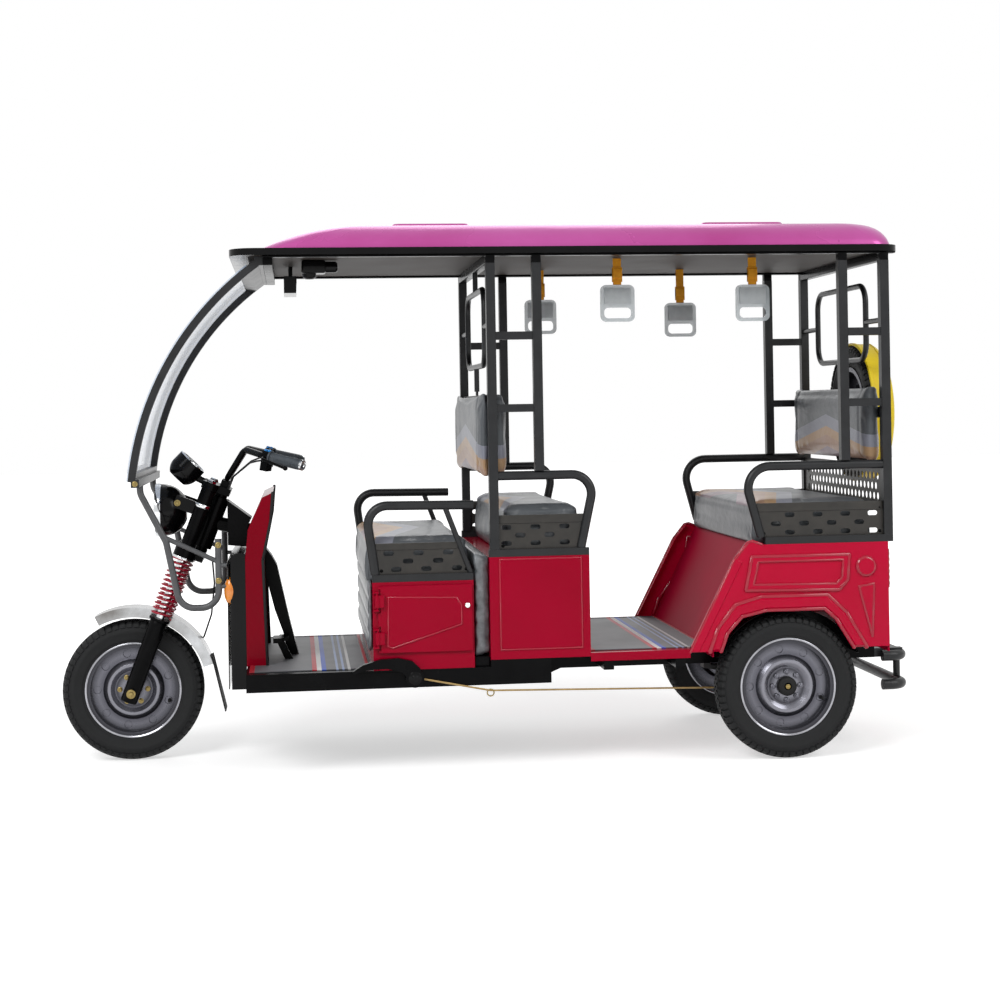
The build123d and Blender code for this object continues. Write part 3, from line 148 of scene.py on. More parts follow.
def banded(name, axis, low_mm, high_mm, stops, rough, bump_mm, bump_size_mm, lean=0.0, stretch=(1, 1, 1),
           plain_below_mm=None, **sockets):
    # Bands of colour along one axis of the object, set back with the distance from the middle plane.
    # Below a given height the first band's colour goes round the sides.
    mat, tree, bsdf, place = blank(name, sockets)
    worn = surface(tree, bsdf, place, rough, PRINT_MOTTLE, bump_mm, bump_size_mm, stretch)
    split = add(tree, "ShaderNodeSeparateXYZ", {"Vector": place})
    reach = add(tree, "ShaderNodeMath", {0: split.outputs["Y"]}, operation="ABSOLUTE")
    shift = add(tree, "ShaderNodeMath", {0: reach.outputs[0], 1: lean, 2: split.outputs[axis]},
                operation="MULTIPLY_ADD")
    part = add(tree, "ShaderNodeMapRange", {
        "Value": shift.outputs[0], "From Min": low_mm * MM, "From Max": high_mm * MM})
    ramp = add(tree, "ShaderNodeValToRGB", {"Fac": part.outputs["Result"]})
    ramp.color_ramp.interpolation = "CONSTANT"
    fill_ramp(ramp, stops)
    shade = add(tree, "ShaderNodeMapRange", {
        "Value": worn.outputs["Fac"], "To Min": PRINT_SHADE, "To Max": 1.0})
    colour = ramp.outputs["Color"]
    if plain_below_mm is not None:
        top = add(tree, "ShaderNodeMapRange", {
            "Value": split.outputs["Z"], "From Min": (plain_below_mm - PRINT_BLEND) * MM,
            "From Max": plain_below_mm * MM})
        # The mix node's colour sockets share their names with its float ones, so they go by number.
        mix = add(tree, "ShaderNodeMix", {0: top.outputs["Result"], 7: colour}, data_type="RGBA")
        mix.inputs[6].default_value = linear(stops[0][1])
        colour = mix.outputs[2]
    tone = add(tree, "ShaderNodeHueSaturation", {"Color": colour, "Value": shade.outputs["Result"]})
    tree.links.new(tone.outputs["Color"], bsdf.inputs["Base Color"])
    return mat


# Stove enamel on pressed steel: deep even red, a soft sheen and the faint orange peel of sprayed paint.
body_red = mottled("stove_enamelled_steel_red", "#9E0024", "#AA002A", 400, (0.12, 0.2), 0.03, 6, edge_mm=3.0,
                   Specular_IOR_Level=0.07)
# The same enamel on the rear sides, a brighter red.
side_red = mottled("stove_enamelled_steel_bright_red", "#BE0230", "#CA0638", 400, (0.1, 0.18), 0.03, 6,
                   edge_mm=3.0, Specular_IOR_Level=0.11)
# Enamel over the rolled beads: glossy, so that each bead carries a bright line.
bead_red = mottled("stove_enamelled_bead_red", "#A8022A", "#B60630", 400, (0.08, 0.14), 0.02, 6,
                   Specular_IOR_Level=0.5)
# Enamel on the rear seat's front: duller, with hardly any sheen.
inner_red = mottled("stove_enamelled_steel_rubbed_red", "#A40830", "#B41038", 300, (0.34, 0.46), 0.03, 6,
                    edge_mm=3.0, Specular_IOR_Level=0.02)
# Enamel on the leg shield: a deeper red, the body's enamel darkened as painted shade.
shield_red_painted_shade = mottled("stove_enamelled_steel_red_painted_shade", "#7A0016", "#88001A", 400, (0.1, 0.18), 0.03, 6,
                     edge_mm=3.0, Specular_IOR_Level=0.06)
# Pearl gelcoat over fibreglass: pinkish crimson with a lavender sheen and the waviness of a mould.
# Its crimson is lightened to pink: a painted reflection of the bright surroundings.
roof_red_painted_reflection = mottled("pearl_gelcoat_crimson_painted_reflection", "#AE3A84", "#C45AA4", 500, (0.22, 0.32), 0.1, 40, Metallic=0.3,
                   Specular_Tint=linear("#D996D6"), Coat_Weight=0.25, Coat_Roughness=0.16)
# Powder coat on square tube: near black with a fine pebbled relief and dull highlights.
frame_black = mottled("powder_coated_steel_black", "#17181A", "#222325", 60, (0.28, 0.42), 0.1, 1.6,
                      edge_mm=2.5, Specular_IOR_Level=0.32)
# Chassis paint on the underframe, floor and levers: jet black and fairly shiny.
chassis_black = mottled("chassis_paint_black", "#060607", "#0D0D0E", 60, (0.2, 0.32), 0.05, 3, edge_mm=2.5,
                        Specular_IOR_Level=0.06)
# The same coat in bronze grey on the seat guards.
guard_bronze = mottled("powder_coated_sheet_bronze", "#24221F", "#322F2B", 50, (0.34, 0.5), 0.1, 1.8,
                       Specular_IOR_Level=0.4)
# Grey paint on the guard hoops, a little chalky.
hoop_grey = mottled("painted_tube_grey", "#47484A", "#545557", 40, (0.34, 0.5), 0.1, 1.8)
# Moulded ABS: black, smooth and shiny, with slight sink in the broad faces.
gloss_black = mottled("moulded_abs_black", "#050506", "#0C0C0D", 120, (0.1, 0.2), 0.06, 30, edge_mm=3.0,
                     Specular_IOR_Level=0.14)
# Moulded rubber: dull black with a dusty grain.
rubber_black = mottled("moulded_rubber_black", "#0E0E0F", "#191919", 30, (0.6, 0.8), 0.15, 2.0,
                       Specular_IOR_Level=0.3)
# Grip rubber: slate grey and close grained.
rubber_slate = mottled("moulded_rubber_slate", "#343A40", "#464C52", 20, (0.5, 0.66), 0.1, 2.0)
# Tyre rubber: charcoal and matt, with slightly paler patches.
tyre_black = mottled("vulcanised_tyre_rubber", "#0D0E0F", "#1B1C1D", 45, (0.56, 0.78), 0.12, 1.8,
                     Specular_IOR_Level=0.3)
# Gunmetal paint on pressed rims: grey with a metallic glint.
rim_grey = mottled("painted_pressed_steel_gunmetal", "#5C5C64", "#74747C", 70, (0.2, 0.3), 0.06, 2.2,
                   edge_mm=2.5, Metallic=0.75)
# Bright flange of the rims: pale metal, a painted highlight that draws a thin ring round each wheel.
rim_flange_painted_highlight = mottled("steel_flange_painted_highlight", "#9A9AA0", "#B4B4BA", 40, (0.16, 0.26), 0.03, 3, Metallic=0.9)
# Rim paint, hub to flange: painted highlights on the raised rings, painted shade in the hollows between them.
RIM_PAINTED_LIGHT_TONES = ((0.0, "#5E5E66"), (0.24, "#7C7C84"), (0.36, "#3A3A40"), (0.42, "#6E6E76"), (0.52, "#85858D"),
             (0.62, "#4A4A52"), (0.76, "#6A6A72"), (0.9, "#44444A"), (1.0, "#2C2C30"))
RIM_RADIUS = 160.0


def rim_painted_light(name, station):
    # The tone goes by the distance from the wheel's axle, which lies across the vehicle.
    mat, tree, bsdf, place = blank(name, {"Metallic": 0.75})
    axle = (AXLE_X + station * MM, 0, TYRE_RADIUS * MM)
    surface(tree, bsdf, place, (0.18, 0.3), 70, 0.06, 2.2, edge_mm=2.5)
    flat = add(tree, "ShaderNodeVectorMath", {0: place, 1: (1, 0, 1)}, operation="MULTIPLY")
    hub = add(tree, "ShaderNodeVectorMath", {0: flat.outputs["Vector"], 1: axle}, operation="DISTANCE")
    share = add(tree, "ShaderNodeMapRange", {"Value": hub.outputs["Value"], "From Max": RIM_RADIUS * MM})
    ramp = add(tree, "ShaderNodeValToRGB", {"Fac": share.outputs["Result"]})
    fill_ramp(ramp, RIM_PAINTED_LIGHT_TONES)
    tree.links.new(ramp.outputs["Color"], bsdf.inputs["Base Color"])
    return mat


front_rim_painted_light = rim_painted_light("painted_pressed_steel_front_painted_light", 0)
rear_rim_painted_light = rim_painted_light("painted_pressed_steel_rear_painted_light", REAR_AXLE)
# Polished stainless sheet: bright, with soft streaks along the guard: painted reflections of the
# surroundings.
stainless_painted_reflections = mottled("polished_stainless_sheet_painted_reflections", "#6E6C6A", "#BCBEC0", 110, (0.12, 0.26), 0.03, 4, (1, 6, 1),
                    Metallic=1.0)
# Chrome plate: clean mirror with a trace of haze.
chrome = mottled("chrome_plated_steel", "#D2D4D6", "#E6E8E9", 60, (0.06, 0.14), Metallic=1.0)
# Passivated zinc on bolts and nuts: yellow brass tone, dulled unevenly.
zinc_yellow = mottled("yellow_passivated_zinc", "#7C6A40", "#A4925F", 6, (0.26, 0.42), 0.03, 1.5,
                      Metallic=1.0)
# Enamelled spring wire: clear red with crisp highlights.
spring_red = mottled("enamelled_spring_steel_red", "#9A0424", "#AE0C30", 30, (0.22, 0.34), 0.05, 3,
                     Specular_IOR_Level=0.35)
# Moulded roof lining: warm grey, pebbled and matt, darkened as painted shade under the roof.
lining_grey_painted_shade = mottled("moulded_lining_grey_painted_shade", "#38332F", "#46403C", 150, (0.5, 0.66), 0.2, 6,
                      Specular_IOR_Level=0.15)
# Woven webbing: bright orange with a cross rib at the thread's spacing.
strap_orange = mottled("woven_webbing_orange", "#EE960A", "#F8AE18", 8, (0.6, 0.75), 0.3, 2.2, (0.3, 0.3, 1))
# Coated canvas over the spare wheel: yellow, slightly crumpled, half matt.
cover_yellow = mottled("coated_canvas_yellow", "#E6C600", "#F2D608", 60, (0.42, 0.58), 0.8, 30)
# Cast iron and spring steel under the body: dark, rough and dry.
iron_dark = mottled("cast_iron_dark", "#242425", "#323232", 25, (0.55, 0.75), 0.4, 4)
# Sheathed cable: tan plastic over wire.
cable_tan = mottled("sheathed_cable_tan", "#A98A52", "#BDA068", 20, (0.4, 0.55), 0.08, 2)
# Amber and red lens mouldings: saturated colour under a clear gloss, faintly rippled.
lamp_amber = mottled("moulded_lens_amber", "#E8800A", "#FA9614", 30, (0.08, 0.16), 0.3, 6, Coat_Weight=0.7)
lamp_red = mottled("moulded_lens_red", "#960606", "#B40E0E", 30, (0.08, 0.16), 0.3, 6, Coat_Weight=0.7)
# Blue switch caps in moulded plastic.
switch_blue = mottled("moulded_abs_blue", "#1478C0", "#2490DC", 20, (0.3, 0.42), 0.03, 2)
# Printed card behind the clear handle plates: pale grey and plain.
card_grey = mottled("printed_card_grey", "#C2C8CB", "#D2D7D9", 30, (0.4, 0.55), 0.05, 4)
# White enamel of the gauge dial: clean and half matt.
dial_white = mottled("enamelled_dial_white", "#E4E6E6", "#EFF0F0", 30, (0.4, 0.5), 0.02, 3)
# Quilted vinyl on the seat fronts: grey and creased, with a thin gloss as of wrapping film.
vinyl_grey = mottled("pressed_vinyl_grey", "#4C5053", "#85898C", 30, (0.24, 0.46), 2.4, 22, (1, 1, 0.45),
                     Coat_Weight=0.15, Coat_Roughness=0.12)

# Seat covers: pressed grey vinyl with chevron bands in rose, peach, sand and lavender, creased, half glossy.
SEAT_GREY = "#5C6064"
ROSE = "#8C747E"
PEACH = "#B08C74"
SAND = "#B99672"
LAVENDER = "#8F919D"
SEAT_STOPS = (
    (0.0, SEAT_GREY), (0.18, ROSE), (0.34, PEACH), (0.52, SAND), (0.66, LAVENDER), (0.84, SEAT_GREY),
)


def seat_cover(name, axis, low_mm, high_mm, lean, plain_below_mm):
    return banded(name, axis, low_mm, high_mm, SEAT_STOPS, (0.26, 0.5), 2.6, 20, lean, (1, 0.5, 1),
                  plain_below_mm, Coat_Weight=0.08, Coat_Roughness=0.1, Specular_IOR_Level=0.3)


# Printed rubber mats: charcoal with a red, white and blue band across the foot room and plain bars beside it.
MAT_GREY = "#55565A"
MAT_EDGE = "#A01224"
PALE_BAR = "#8FA0C4"
MAT_STOPS = (
    (0.0, MAT_EDGE), (0.04, MAT_GREY), (0.52, "#B01828"), (0.56, "#D4D4D2"), (0.60, "#2C50B0"),
    (0.64, MAT_GREY), (0.72, PALE_BAR), (0.74, MAT_GREY), (0.77, PALE_BAR), (0.79, MAT_GREY),
    (0.82, "#C4C4C4"), (0.84, MAT_GREY), (0.97, MAT_EDGE),
)
front_print = banded("printed_rubber_mat_front", "X", -800, -412, MAT_STOPS, (0.45, 0.62), 0.15, 3)
rear_print = banded("printed_rubber_mat_rear", "X", 316, 715, MAT_STOPS, (0.45, 0.62), 0.15, 3)


def clear_sheet(name, tint, rough, weight):
    # Clear plastic: see-through with a faint tint, so that its edge and gloss show.
    mat, tree, bsdf, place = blank(name, {"IOR": 1.49, "Alpha": weight})
    bsdf.inputs["Base Color"].default_value = linear(tint)
    surface(tree, bsdf, place, rough, 120, 0.02, 40)
    return mat


screen_clear = clear_sheet("bent_acrylic_sheet", "#9CC2F0", (0.05, 0.1), 0.34)
lens_clear = clear_sheet("moulded_polycarbonate_lens", "#E8ECEF", (0.04, 0.08), 0.3)
handle_clear = clear_sheet("moulded_acrylic_handle", "#D4DCE0", (0.06, 0.12), 0.6)

# Finish of each CAD piece that stays in view
NODE_FINISH = {
    body_red: ("driver_box", "driver_box_door", "mid_box", "rear_floor"),
    inner_red: ("rear_seat_shell",),
    side_red: ("rear_sides",),
    shield_red_painted_shade: ("leg_shield",),
    roof_red_painted_reflection: ("roof_shell",),
    frame_black: ("armrests", "canopy_posts", "post_rungs", "head_hoops", "seat_rails", "rear_bumper",
                  "windscreen_frame", "spare_carrier"),
    chassis_black: ("chassis_frame", "head_tube", "knee_brace", "handbrake_lever", "fork_yokes",
                    "battery_pack", "handlebar", "front_floor", "fork_legs"),
    guard_bronze: ("seat_guards", "back_plates"),
    hoop_grey: ("guard_hoops",),
    gloss_black: ("front_apron", "headlamp", "gauge_pod", "inside_mirror", "roof_trim"),
    rubber_black: ("mud_flap", "front_brake_cable"),
    rubber_slate: ("handlebar_grips",),
    rim_grey: ("spare_rim",),
    front_rim_painted_light: ("front_rim",),
    rear_rim_painted_light: ("rear_left_rim", "rear_right_rim"),
    stainless_painted_reflections: ("front_mudguard",),
    lining_grey_painted_shade: ("roof_lining",),
    strap_orange: ("handle_straps",),
    cover_yellow: ("spare_cover",),
    iron_dark: ("rear_axle", "leaf_springs"),
    cable_tan: ("handbrake_cable",),
    lamp_red: ("tail_lamps",),
    handle_clear: ("hanging_handles",),
    screen_clear: ("windscreen_glass",),
    lens_clear: ("headlamp_lens",),
}
for finish, names in NODE_FINISH.items():
    for name in names:
        mesh = nodes[name].data
        mesh.materials.clear()
        mesh.materials.append(finish)


# Shared ways of making a piece
def spot(station, y, z):
    # A point given as in the part's source, in millimetres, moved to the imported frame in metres.
    return Vector((AXLE_X + station * MM, y * MM, z * MM))


def keep(name, bm, finish, body="chassis", crease=35.0):
    bmesh.ops.remove_doubles(bm, verts=bm.verts, dist=0.00002)
    bmesh.ops.recalc_face_normals(bm, faces=bm.faces)
    for face in bm.faces:
        face.smooth = True
    for edge in bm.edges:
        edge.smooth = len(edge.link_faces) == 2 and edge.calc_face_angle() < math.radians(crease)
    mesh = bpy.data.meshes.new(name)
    bm.to_mesh(mesh)
    bm.free()
    mesh.materials.append(finish)
    piece = bpy.data.objects.new(name, mesh)
    scene.collection.objects.link(piece)
    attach(piece, body)
    return piece


def lathe(bm, centre, axis, profile, steps=32, closed=False):
    # A turned shape: points as distance along the axis and radius, in millimetres, spun once about the axis.
    out = axis.orthogonal().normalized()
    row = [bm.verts.new(centre + axis * (a * MM) + out * (r * MM)) for a, r in profile]
    pairs = list(zip(row, row[1:])) + ([(row[-1], row[0])] if closed else [])
    edges = [bm.edges.new(two) for two in pairs]
    bmesh.ops.spin(bm, geom=row + edges, cent=centre, axis=axis, angle=2 * math.pi, steps=steps,
                   use_merge=True)


def rod(bm, start, end, tip, steps=16):
    # A round bar between two points; its tip is given as distance past the point and radius, inward.
    run = end - start
    length = run.length / MM
    profile = [(-a, r) for a, r in tip] + [(length + a, r) for a, r in reversed(tip)]
    lathe(bm, start, run.normalized(), profile, steps)


def bolt(bm, centre, axis, flats):
    # A washer and a chamfered hexagon head; the hexagon's corners lie 0.577 of its flats from the middle.
    washer = flats * 0.9
    lathe(bm, centre, axis, ((0, 0), (0, washer), (1.6, washer), (2, flats * 0.84), (2, 0)), 24)
    corner = flats * 0.577
    top = flats * 0.6
    lathe(bm, centre, axis, ((1, 0), (1, corner), (flats * 0.5, corner), (top, corner * 0.82), (top, 0)), 6)


def slab(bm, low, high, edge_mm, segments=3):
    # A block with rolled edges, between two corners.
    verts = bmesh.ops.create_cube(bm, size=1.0)["verts"]
    bmesh.ops.scale(bm, vec=high - low, verts=verts)
    bmesh.ops.translate(bm, vec=(low + high) / 2, verts=verts)
    edges = {edge for vert in verts for edge in vert.link_edges}
    bmesh.ops.bevel(bm, geom=list(edges), offset=edge_mm * MM, segments=segments, profile=0.5,
                    affect="EDGES", material=-1)


# Tyres: half section in millimetres (across the tread, radius), from the crown to the bead
TYRE_HALF_SECTION = (
    (7, 235), (9, 235), (22, 234.4), (24, 234.2), (37, 229.5), (41.5, 226), (43.6, 216), (45.6, 206),
    (46, 204), (46, 198), (45.2, 196), (43.2, 180), (41.4, 173), (39.4, 171), (37.8, 166), (35.8, 165),
    (32.8, 162), (32.6, 149),
)
# Tread: steps round the tyre, steps from one groove to the next, radius below which no block stands,
# how far a block rises and how much its top is drawn in
TREAD_STEPS = 240
GROOVE_STEPS = 4
TREAD_LOW = 213.0
BLOCK_RISE = 4.6
BLOCK_INSET = 0.7
# Bands across the tread that carry blocks: from, to, and how many steps the band's grooves are turned on
TREAD_BANDS = ((0, 7, 0), (9, 22, 2), (24, 37, 0), (37, 41.5, 0), (41.5, 43.6, 0))


def tyre(name, node, centre, axle, body, squeeze=1.0):
    bm = bmesh.new()
    section = [(-a, r) for a, r in reversed(TYRE_HALF_SECTION)] + list(TYRE_HALF_SECTION)
    row = [bm.verts.new(centre + axle * (a * squeeze * MM) + UP * (r * MM)) for a, r in section]
    for first, second in zip(row, row[1:]):
        bm.edges.new((first, second))
    bmesh.ops.spin(bm, geom=bm.verts[:] + bm.edges[:], cent=centre, axis=axle, angle=2 * math.pi,
                   steps=TREAD_STEPS, use_merge=True)
    bmesh.ops.remove_doubles(bm, verts=bm.verts, dist=0.00002)
    bmesh.ops.recalc_face_normals(bm, faces=bm.faces)
    side = axle.cross(UP)
    blocks = []
    for face in bm.faces:
        reach = face.calc_center_median() - centre
        across = abs(reach.dot(axle)) / MM / squeeze
        if reach.length < TREAD_LOW * MM:
            continue
        step = int(math.degrees(math.atan2(reach.dot(side), reach.dot(UP))) % 360 / 360 * TREAD_STEPS)
        for low, high, shift in TREAD_BANDS:
            if low <= across <= high and (step + shift) % GROOVE_STEPS != 0:
                blocks.append(face)
                break
    bmesh.ops.inset_region(bm, faces=blocks, thickness=BLOCK_INSET * MM, depth=BLOCK_RISE * MM,
                           use_even_offset=True)
    piece = keep(name, bm, tyre_black, body, 24.0)
    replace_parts(piece, node)


HALF_TRACK = 423.0
SPARE_STATION = 2598.0
SPARE_HEIGHT = 1150.0
# The spare's section is narrower in the source, by this share.
SPARE_SQUEEZE = 42 / 46
# Circles that the wheel bolts and the valve stand on, the disc's face, and turned sections out from the hub
BOLT_CIRCLE = 47.0
WHEEL_BOLT = 10.0
VALVE_CIRCLE = 128.0
VALVE_ANGLE = 20.0
DISC_FACE = 8.0
HUB_CAP = ((13, 0), (13, 32), (28, 32), (33, 29), (36, 23), (36.6, 14), (35, 12), (35, 0))
VALVE = ((-1, 0), (-1, 7), (4, 6), (9, 4.5), (9, 3), (20, 3), (20, 4), (27, 4), (28, 3), (28, 0))
CAP_BUTTON = ((34, 0), (34, 8), (35.8, 8), (36.8, 6), (37, 0))
FLANGE_RING = ((34, 156), (37, 157), (38.6, 160), (37.6, 163), (35, 164))
# Wheel, station, Y, side that its disc faces, body, wheel bolts and the face that they stand on
WHEELS = (
    ("front", 0, 0, -1, "front_wheel", 6, 14),
    ("rear_left", REAR_AXLE, -HALF_TRACK, -1, "rear_wheel_left", 8, 20),
    ("rear_right", REAR_AXLE, HALF_TRACK, 1, "rear_wheel_right", 8, 20),
)
for name, station, y, side, body, count, bolt_face in WHEELS:
    centre = spot(station, y, TYRE_RADIUS)
    out = ACROSS * side
    tyre(f"{name}_tyre_tread", f"{name}_tyre", centre, ACROSS, body)
    bm = bmesh.new()
    for i in range(count):
        around = Matrix.Rotation(2 * math.pi * i / count, 4, "Y") @ ALONG
        bolt(bm, centre + out * (bolt_face * MM) + around * (BOLT_CIRCLE * MM), out, WHEEL_BOLT)
    keep(f"{name}_wheel_bolts", bm, zinc_yellow if name == "front" else rim_grey, body)
    # A pale ring on each side of the rim, a painted highlight on the flange.
    bm = bmesh.new()
    for way in SIDES:
        lathe(bm, centre, ACROSS * way, FLANGE_RING, 96, True)
    keep(f"{name}_rim_flanges", bm, rim_flange_painted_highlight, body)
    bm = bmesh.new()
    around = Matrix.Rotation(math.radians(VALVE_ANGLE), 4, "Y") @ ALONG
    lathe(bm, centre + out * (DISC_FACE * MM) + around * (VALVE_CIRCLE * MM), out, VALVE, 16)
    if name != "front":
        lathe(bm, centre, out, HUB_CAP, 40)
    keep(f"{name}_valve_and_cap", bm, rubber_black, body)
    if name != "front":
        bm = bmesh.new()
        lathe(bm, centre, out, CAP_BUTTON, 32)
        keep(f"{name}_cap_button", bm, zinc_yellow, body)
spare_centre = spot(SPARE_STATION, 0, SPARE_HEIGHT)
tyre("spare_tyre_tread", "spare_tyre", spare_centre, ALONG, "chassis", SPARE_SQUEEZE)

# Fork and steering head: local x points back and local z up the fork leg
RAKE = math.radians(21.5)
LEG_Y = 91.0
leg_up = Vector((math.sin(RAKE), 0, math.cos(RAKE)))
leg_back = Vector((math.cos(RAKE), 0, -math.sin(RAKE)))


def on_fork(x, y, z):
    return spot(0, y, TYRE_RADIUS) + leg_back * (x * MM) + leg_up * (z * MM)


# Axle nuts and the bolts beside the headlamp: place on the fork (back, out, up) and width across flats
FORK_BOLTS = ((0, 126, 0, 17), (-84, 77, 655, 12))
bm = bmesh.new()
for side in SIDES:
    for x, y, z, flats in FORK_BOLTS:
        bolt(bm, on_fork(x, side * y, z), ACROSS * side, flats)
keep("axle_nuts", bm, zinc_yellow, "steering")
RING = ((-5, 25.2), (-6, 27), (-4, 28.4), (4, 28.4), (6, 27), (5, 25.2))
RING_HEIGHT = 676.0
CAP_NUT = ((-2, 0), (-2, 17), (6, 17), (10, 13), (11, 0))
CAP_HEIGHT = 760.0
STEM_BACK = 45.0
bm = bmesh.new()
for side in SIDES:
    lathe(bm, on_fork(0, side * LEG_Y, RING_HEIGHT), leg_up, RING, 40, True)
    lathe(bm, on_fork(0, side * LEG_Y, CAP_HEIGHT), leg_up, CAP_NUT, 6)
lathe(bm, on_fork(STEM_BACK, 0, CAP_HEIGHT), leg_up, CAP_NUT, 6)
keep("fork_rings", bm, chrome, "steering")

# Fork legs: sleeves over the sliders, plated stanchions and close coils; heights go along the leg
COIL_LOW = 275.0
COIL_TOP = 488.0
COIL_TURNS = 13
COIL_STEPS = 24
COIL_R = 35.0
COIL_WIRE = 3.3
SLEEVE = ((-30, 23.3), (-33, 26), (-28, 28.5), (240, 30), (258, 30), (261, 28), (261, 23.3))
STANCHION = ((269, 14.2), (269, 15.4), (491, 15.4), (491, 14.2))
SPRING_SEAT = ((484, 16), (484, 38), (489, 39), (491.6, 38), (491.6, 16))
sleeves = bmesh.new()
tubes = bmesh.new()
coils = bmesh.new()
for side in SIDES:
    foot = on_fork(0, side * LEG_Y, 0)
    lathe(sleeves, foot, leg_up, SLEEVE, 40, True)
    lathe(tubes, foot, leg_up, STANCHION, 32, True)
    lathe(tubes, foot, leg_up, SPRING_SEAT, 32, True)
    wire = [coils.verts.new(foot + leg_up * ((COIL_LOW + COIL_WIRE * math.sin(a)) * MM)
                            + leg_back * ((COIL_R + COIL_WIRE * math.cos(a)) * MM))
            for a in (math.radians(45 * i) for i in range(8))]
    loop = [coils.edges.new(two) for two in zip(wire, wire[1:] + wire[:1])]
    climb = leg_up * ((COIL_TOP - COIL_LOW) * MM / (COIL_TURNS * COIL_STEPS))
    bmesh.ops.spin(coils, geom=wire + loop, cent=foot, axis=leg_up, dvec=climb,
                   angle=2 * math.pi * COIL_TURNS, steps=COIL_TURNS * COIL_STEPS)
bmesh.ops.holes_fill(coils, edges=coils.edges, sides=8)
keep("slider_sleeves", sleeves, chassis_black, "steering")
keep("stanchions", tubes, chrome, "steering")
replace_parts(keep("spring_coils", coils, spring_red, "steering", 60.0), "fork_springs")

# Grips: ribbed sleeves with plated ends, and the switch caps beside them
GRIP_TIP = (580.5, 322.0, 1009.3)
GRIP_INNER = (454.5, 236.0, 1041.3)
RIB_COUNT = 16
RIB_FIRST = 6.0
RIB_STEP = 7.0
RIB = ((-2.2, 16.6), (-1.2, 18.2), (1.2, 18.2), (2.2, 16.6))
COLLAR_BACK = 118.0
COLLAR = ((-3, 16.5), (-3, 22), (0, 23), (3, 22), (3, 16.5))
GRIP_END = ((5, 0), (5, 18), (11, 18), (13, 15), (13, 6), (11, 4), (11, 0))
SWITCH_BACKS = (129, 143)
SWITCH_RISE = 17.0
SWITCH_CAP = ((0, 0), (0, 6.4), (5, 6.4), (7, 4.4), (7, 0))
ribs = bmesh.new()
ends = bmesh.new()
caps = bmesh.new()
for side in SIDES:
    tip = spot(GRIP_TIP[0], side * GRIP_TIP[1], GRIP_TIP[2])
    along = (tip - spot(GRIP_INNER[0], side * GRIP_INNER[1], GRIP_INNER[2])).normalized()
    grip_up = (UP - along * along.z).normalized()
    for i in range(RIB_COUNT):
        lathe(ribs, tip - along * ((RIB_FIRST + i * RIB_STEP) * MM), along, RIB, 28, True)
    lathe(ribs, tip - along * (COLLAR_BACK * MM), along, COLLAR, 28, True)
    lathe(ends, tip, along, GRIP_END, 28)
    for back in SWITCH_BACKS:
        lathe(caps, tip - along * (back * MM) + grip_up * (SWITCH_RISE * MM), grip_up, SWITCH_CAP, 16)
keep("grip_ribs", ribs, rubber_slate, "steering")
keep("grip_ends", ends, chrome, "steering")
keep("switch_caps", caps, switch_blue, "steering")

# Headlamp: plated rim, reflector and bulb
LAMP_HEIGHT = 853.0
LAMP_RIM = ((-16, 90.3), (-16, 92), (0, 92.4), (4, 90.6), (4.6, 86), (3, 82.6), (0, 82.4), (0, 90.3))
REFLECTOR = ((0, 0), (0, 14), (4, 42), (12, 76), (14, 79), (14, 77.6), (5.4, 42), (1.6, 14), (1.4, 0))
BULB = ((0, 0), (0, 9), (6, 9), (8, 6), (15, 5.4), (18, 3), (18.6, 0))
bm = bmesh.new()
lathe(bm, spot(88, 0, LAMP_HEIGHT), -ALONG, LAMP_RIM, 64, True)
lathe(bm, spot(99, 0, LAMP_HEIGHT), -ALONG, REFLECTOR, 64)
keep("headlamp_rim", bm, chrome, "steering")
bm = bmesh.new()
lathe(bm, spot(98, 0, LAMP_HEIGHT), -ALONG, BULB, 24)
keep("headlamp_bulb", bm, dial_white, "steering")

# Gauge: dial, marks, needle, rim and window, all square to its tilted axis
GAUGE_CENTRE = spot(185, 0, 990)
GAUGE_AXIS = Vector((math.sin(math.radians(45)), 0, math.cos(math.radians(45))))
DIAL = ((31.2, 0), (31.2, 46), (32, 46.6), (32.4, 45.6), (32.4, 0))
# Marks: first angle, angle between two, how many, distance from the middle, height over the dial
MARK_FIRST = -120
MARK_STEP = 24
MARK_COUNT = 11
MARK_OUT = 34.0
MARK_HEIGHT = 33.0
MARK = ((0, 0), (0, 1.1), (8, 1.1), (8, 0))
BOSS = ((32, 0), (32, 6), (35, 6), (36.4, 4), (36.4, 0))
NEEDLE_ANGLE = -96
NEEDLE_HEIGHT = 34.5
NEEDLE = ((-9, 0), (-9, 1.8), (0, 2), (31, 0.7), (31, 0))
GAUGE_RIM = ((38, 48), (38, 54.4), (40, 55), (42, 53.6), (42, 49), (40.6, 48))
GAUGE_WINDOW = ((37, 0), (37, 47.6), (38.6, 47.6), (40.6, 34), (41.6, 18), (42, 0))


def dial_ray(degrees):
    return Matrix.Rotation(math.radians(degrees), 3, GAUGE_AXIS) @ ACROSS


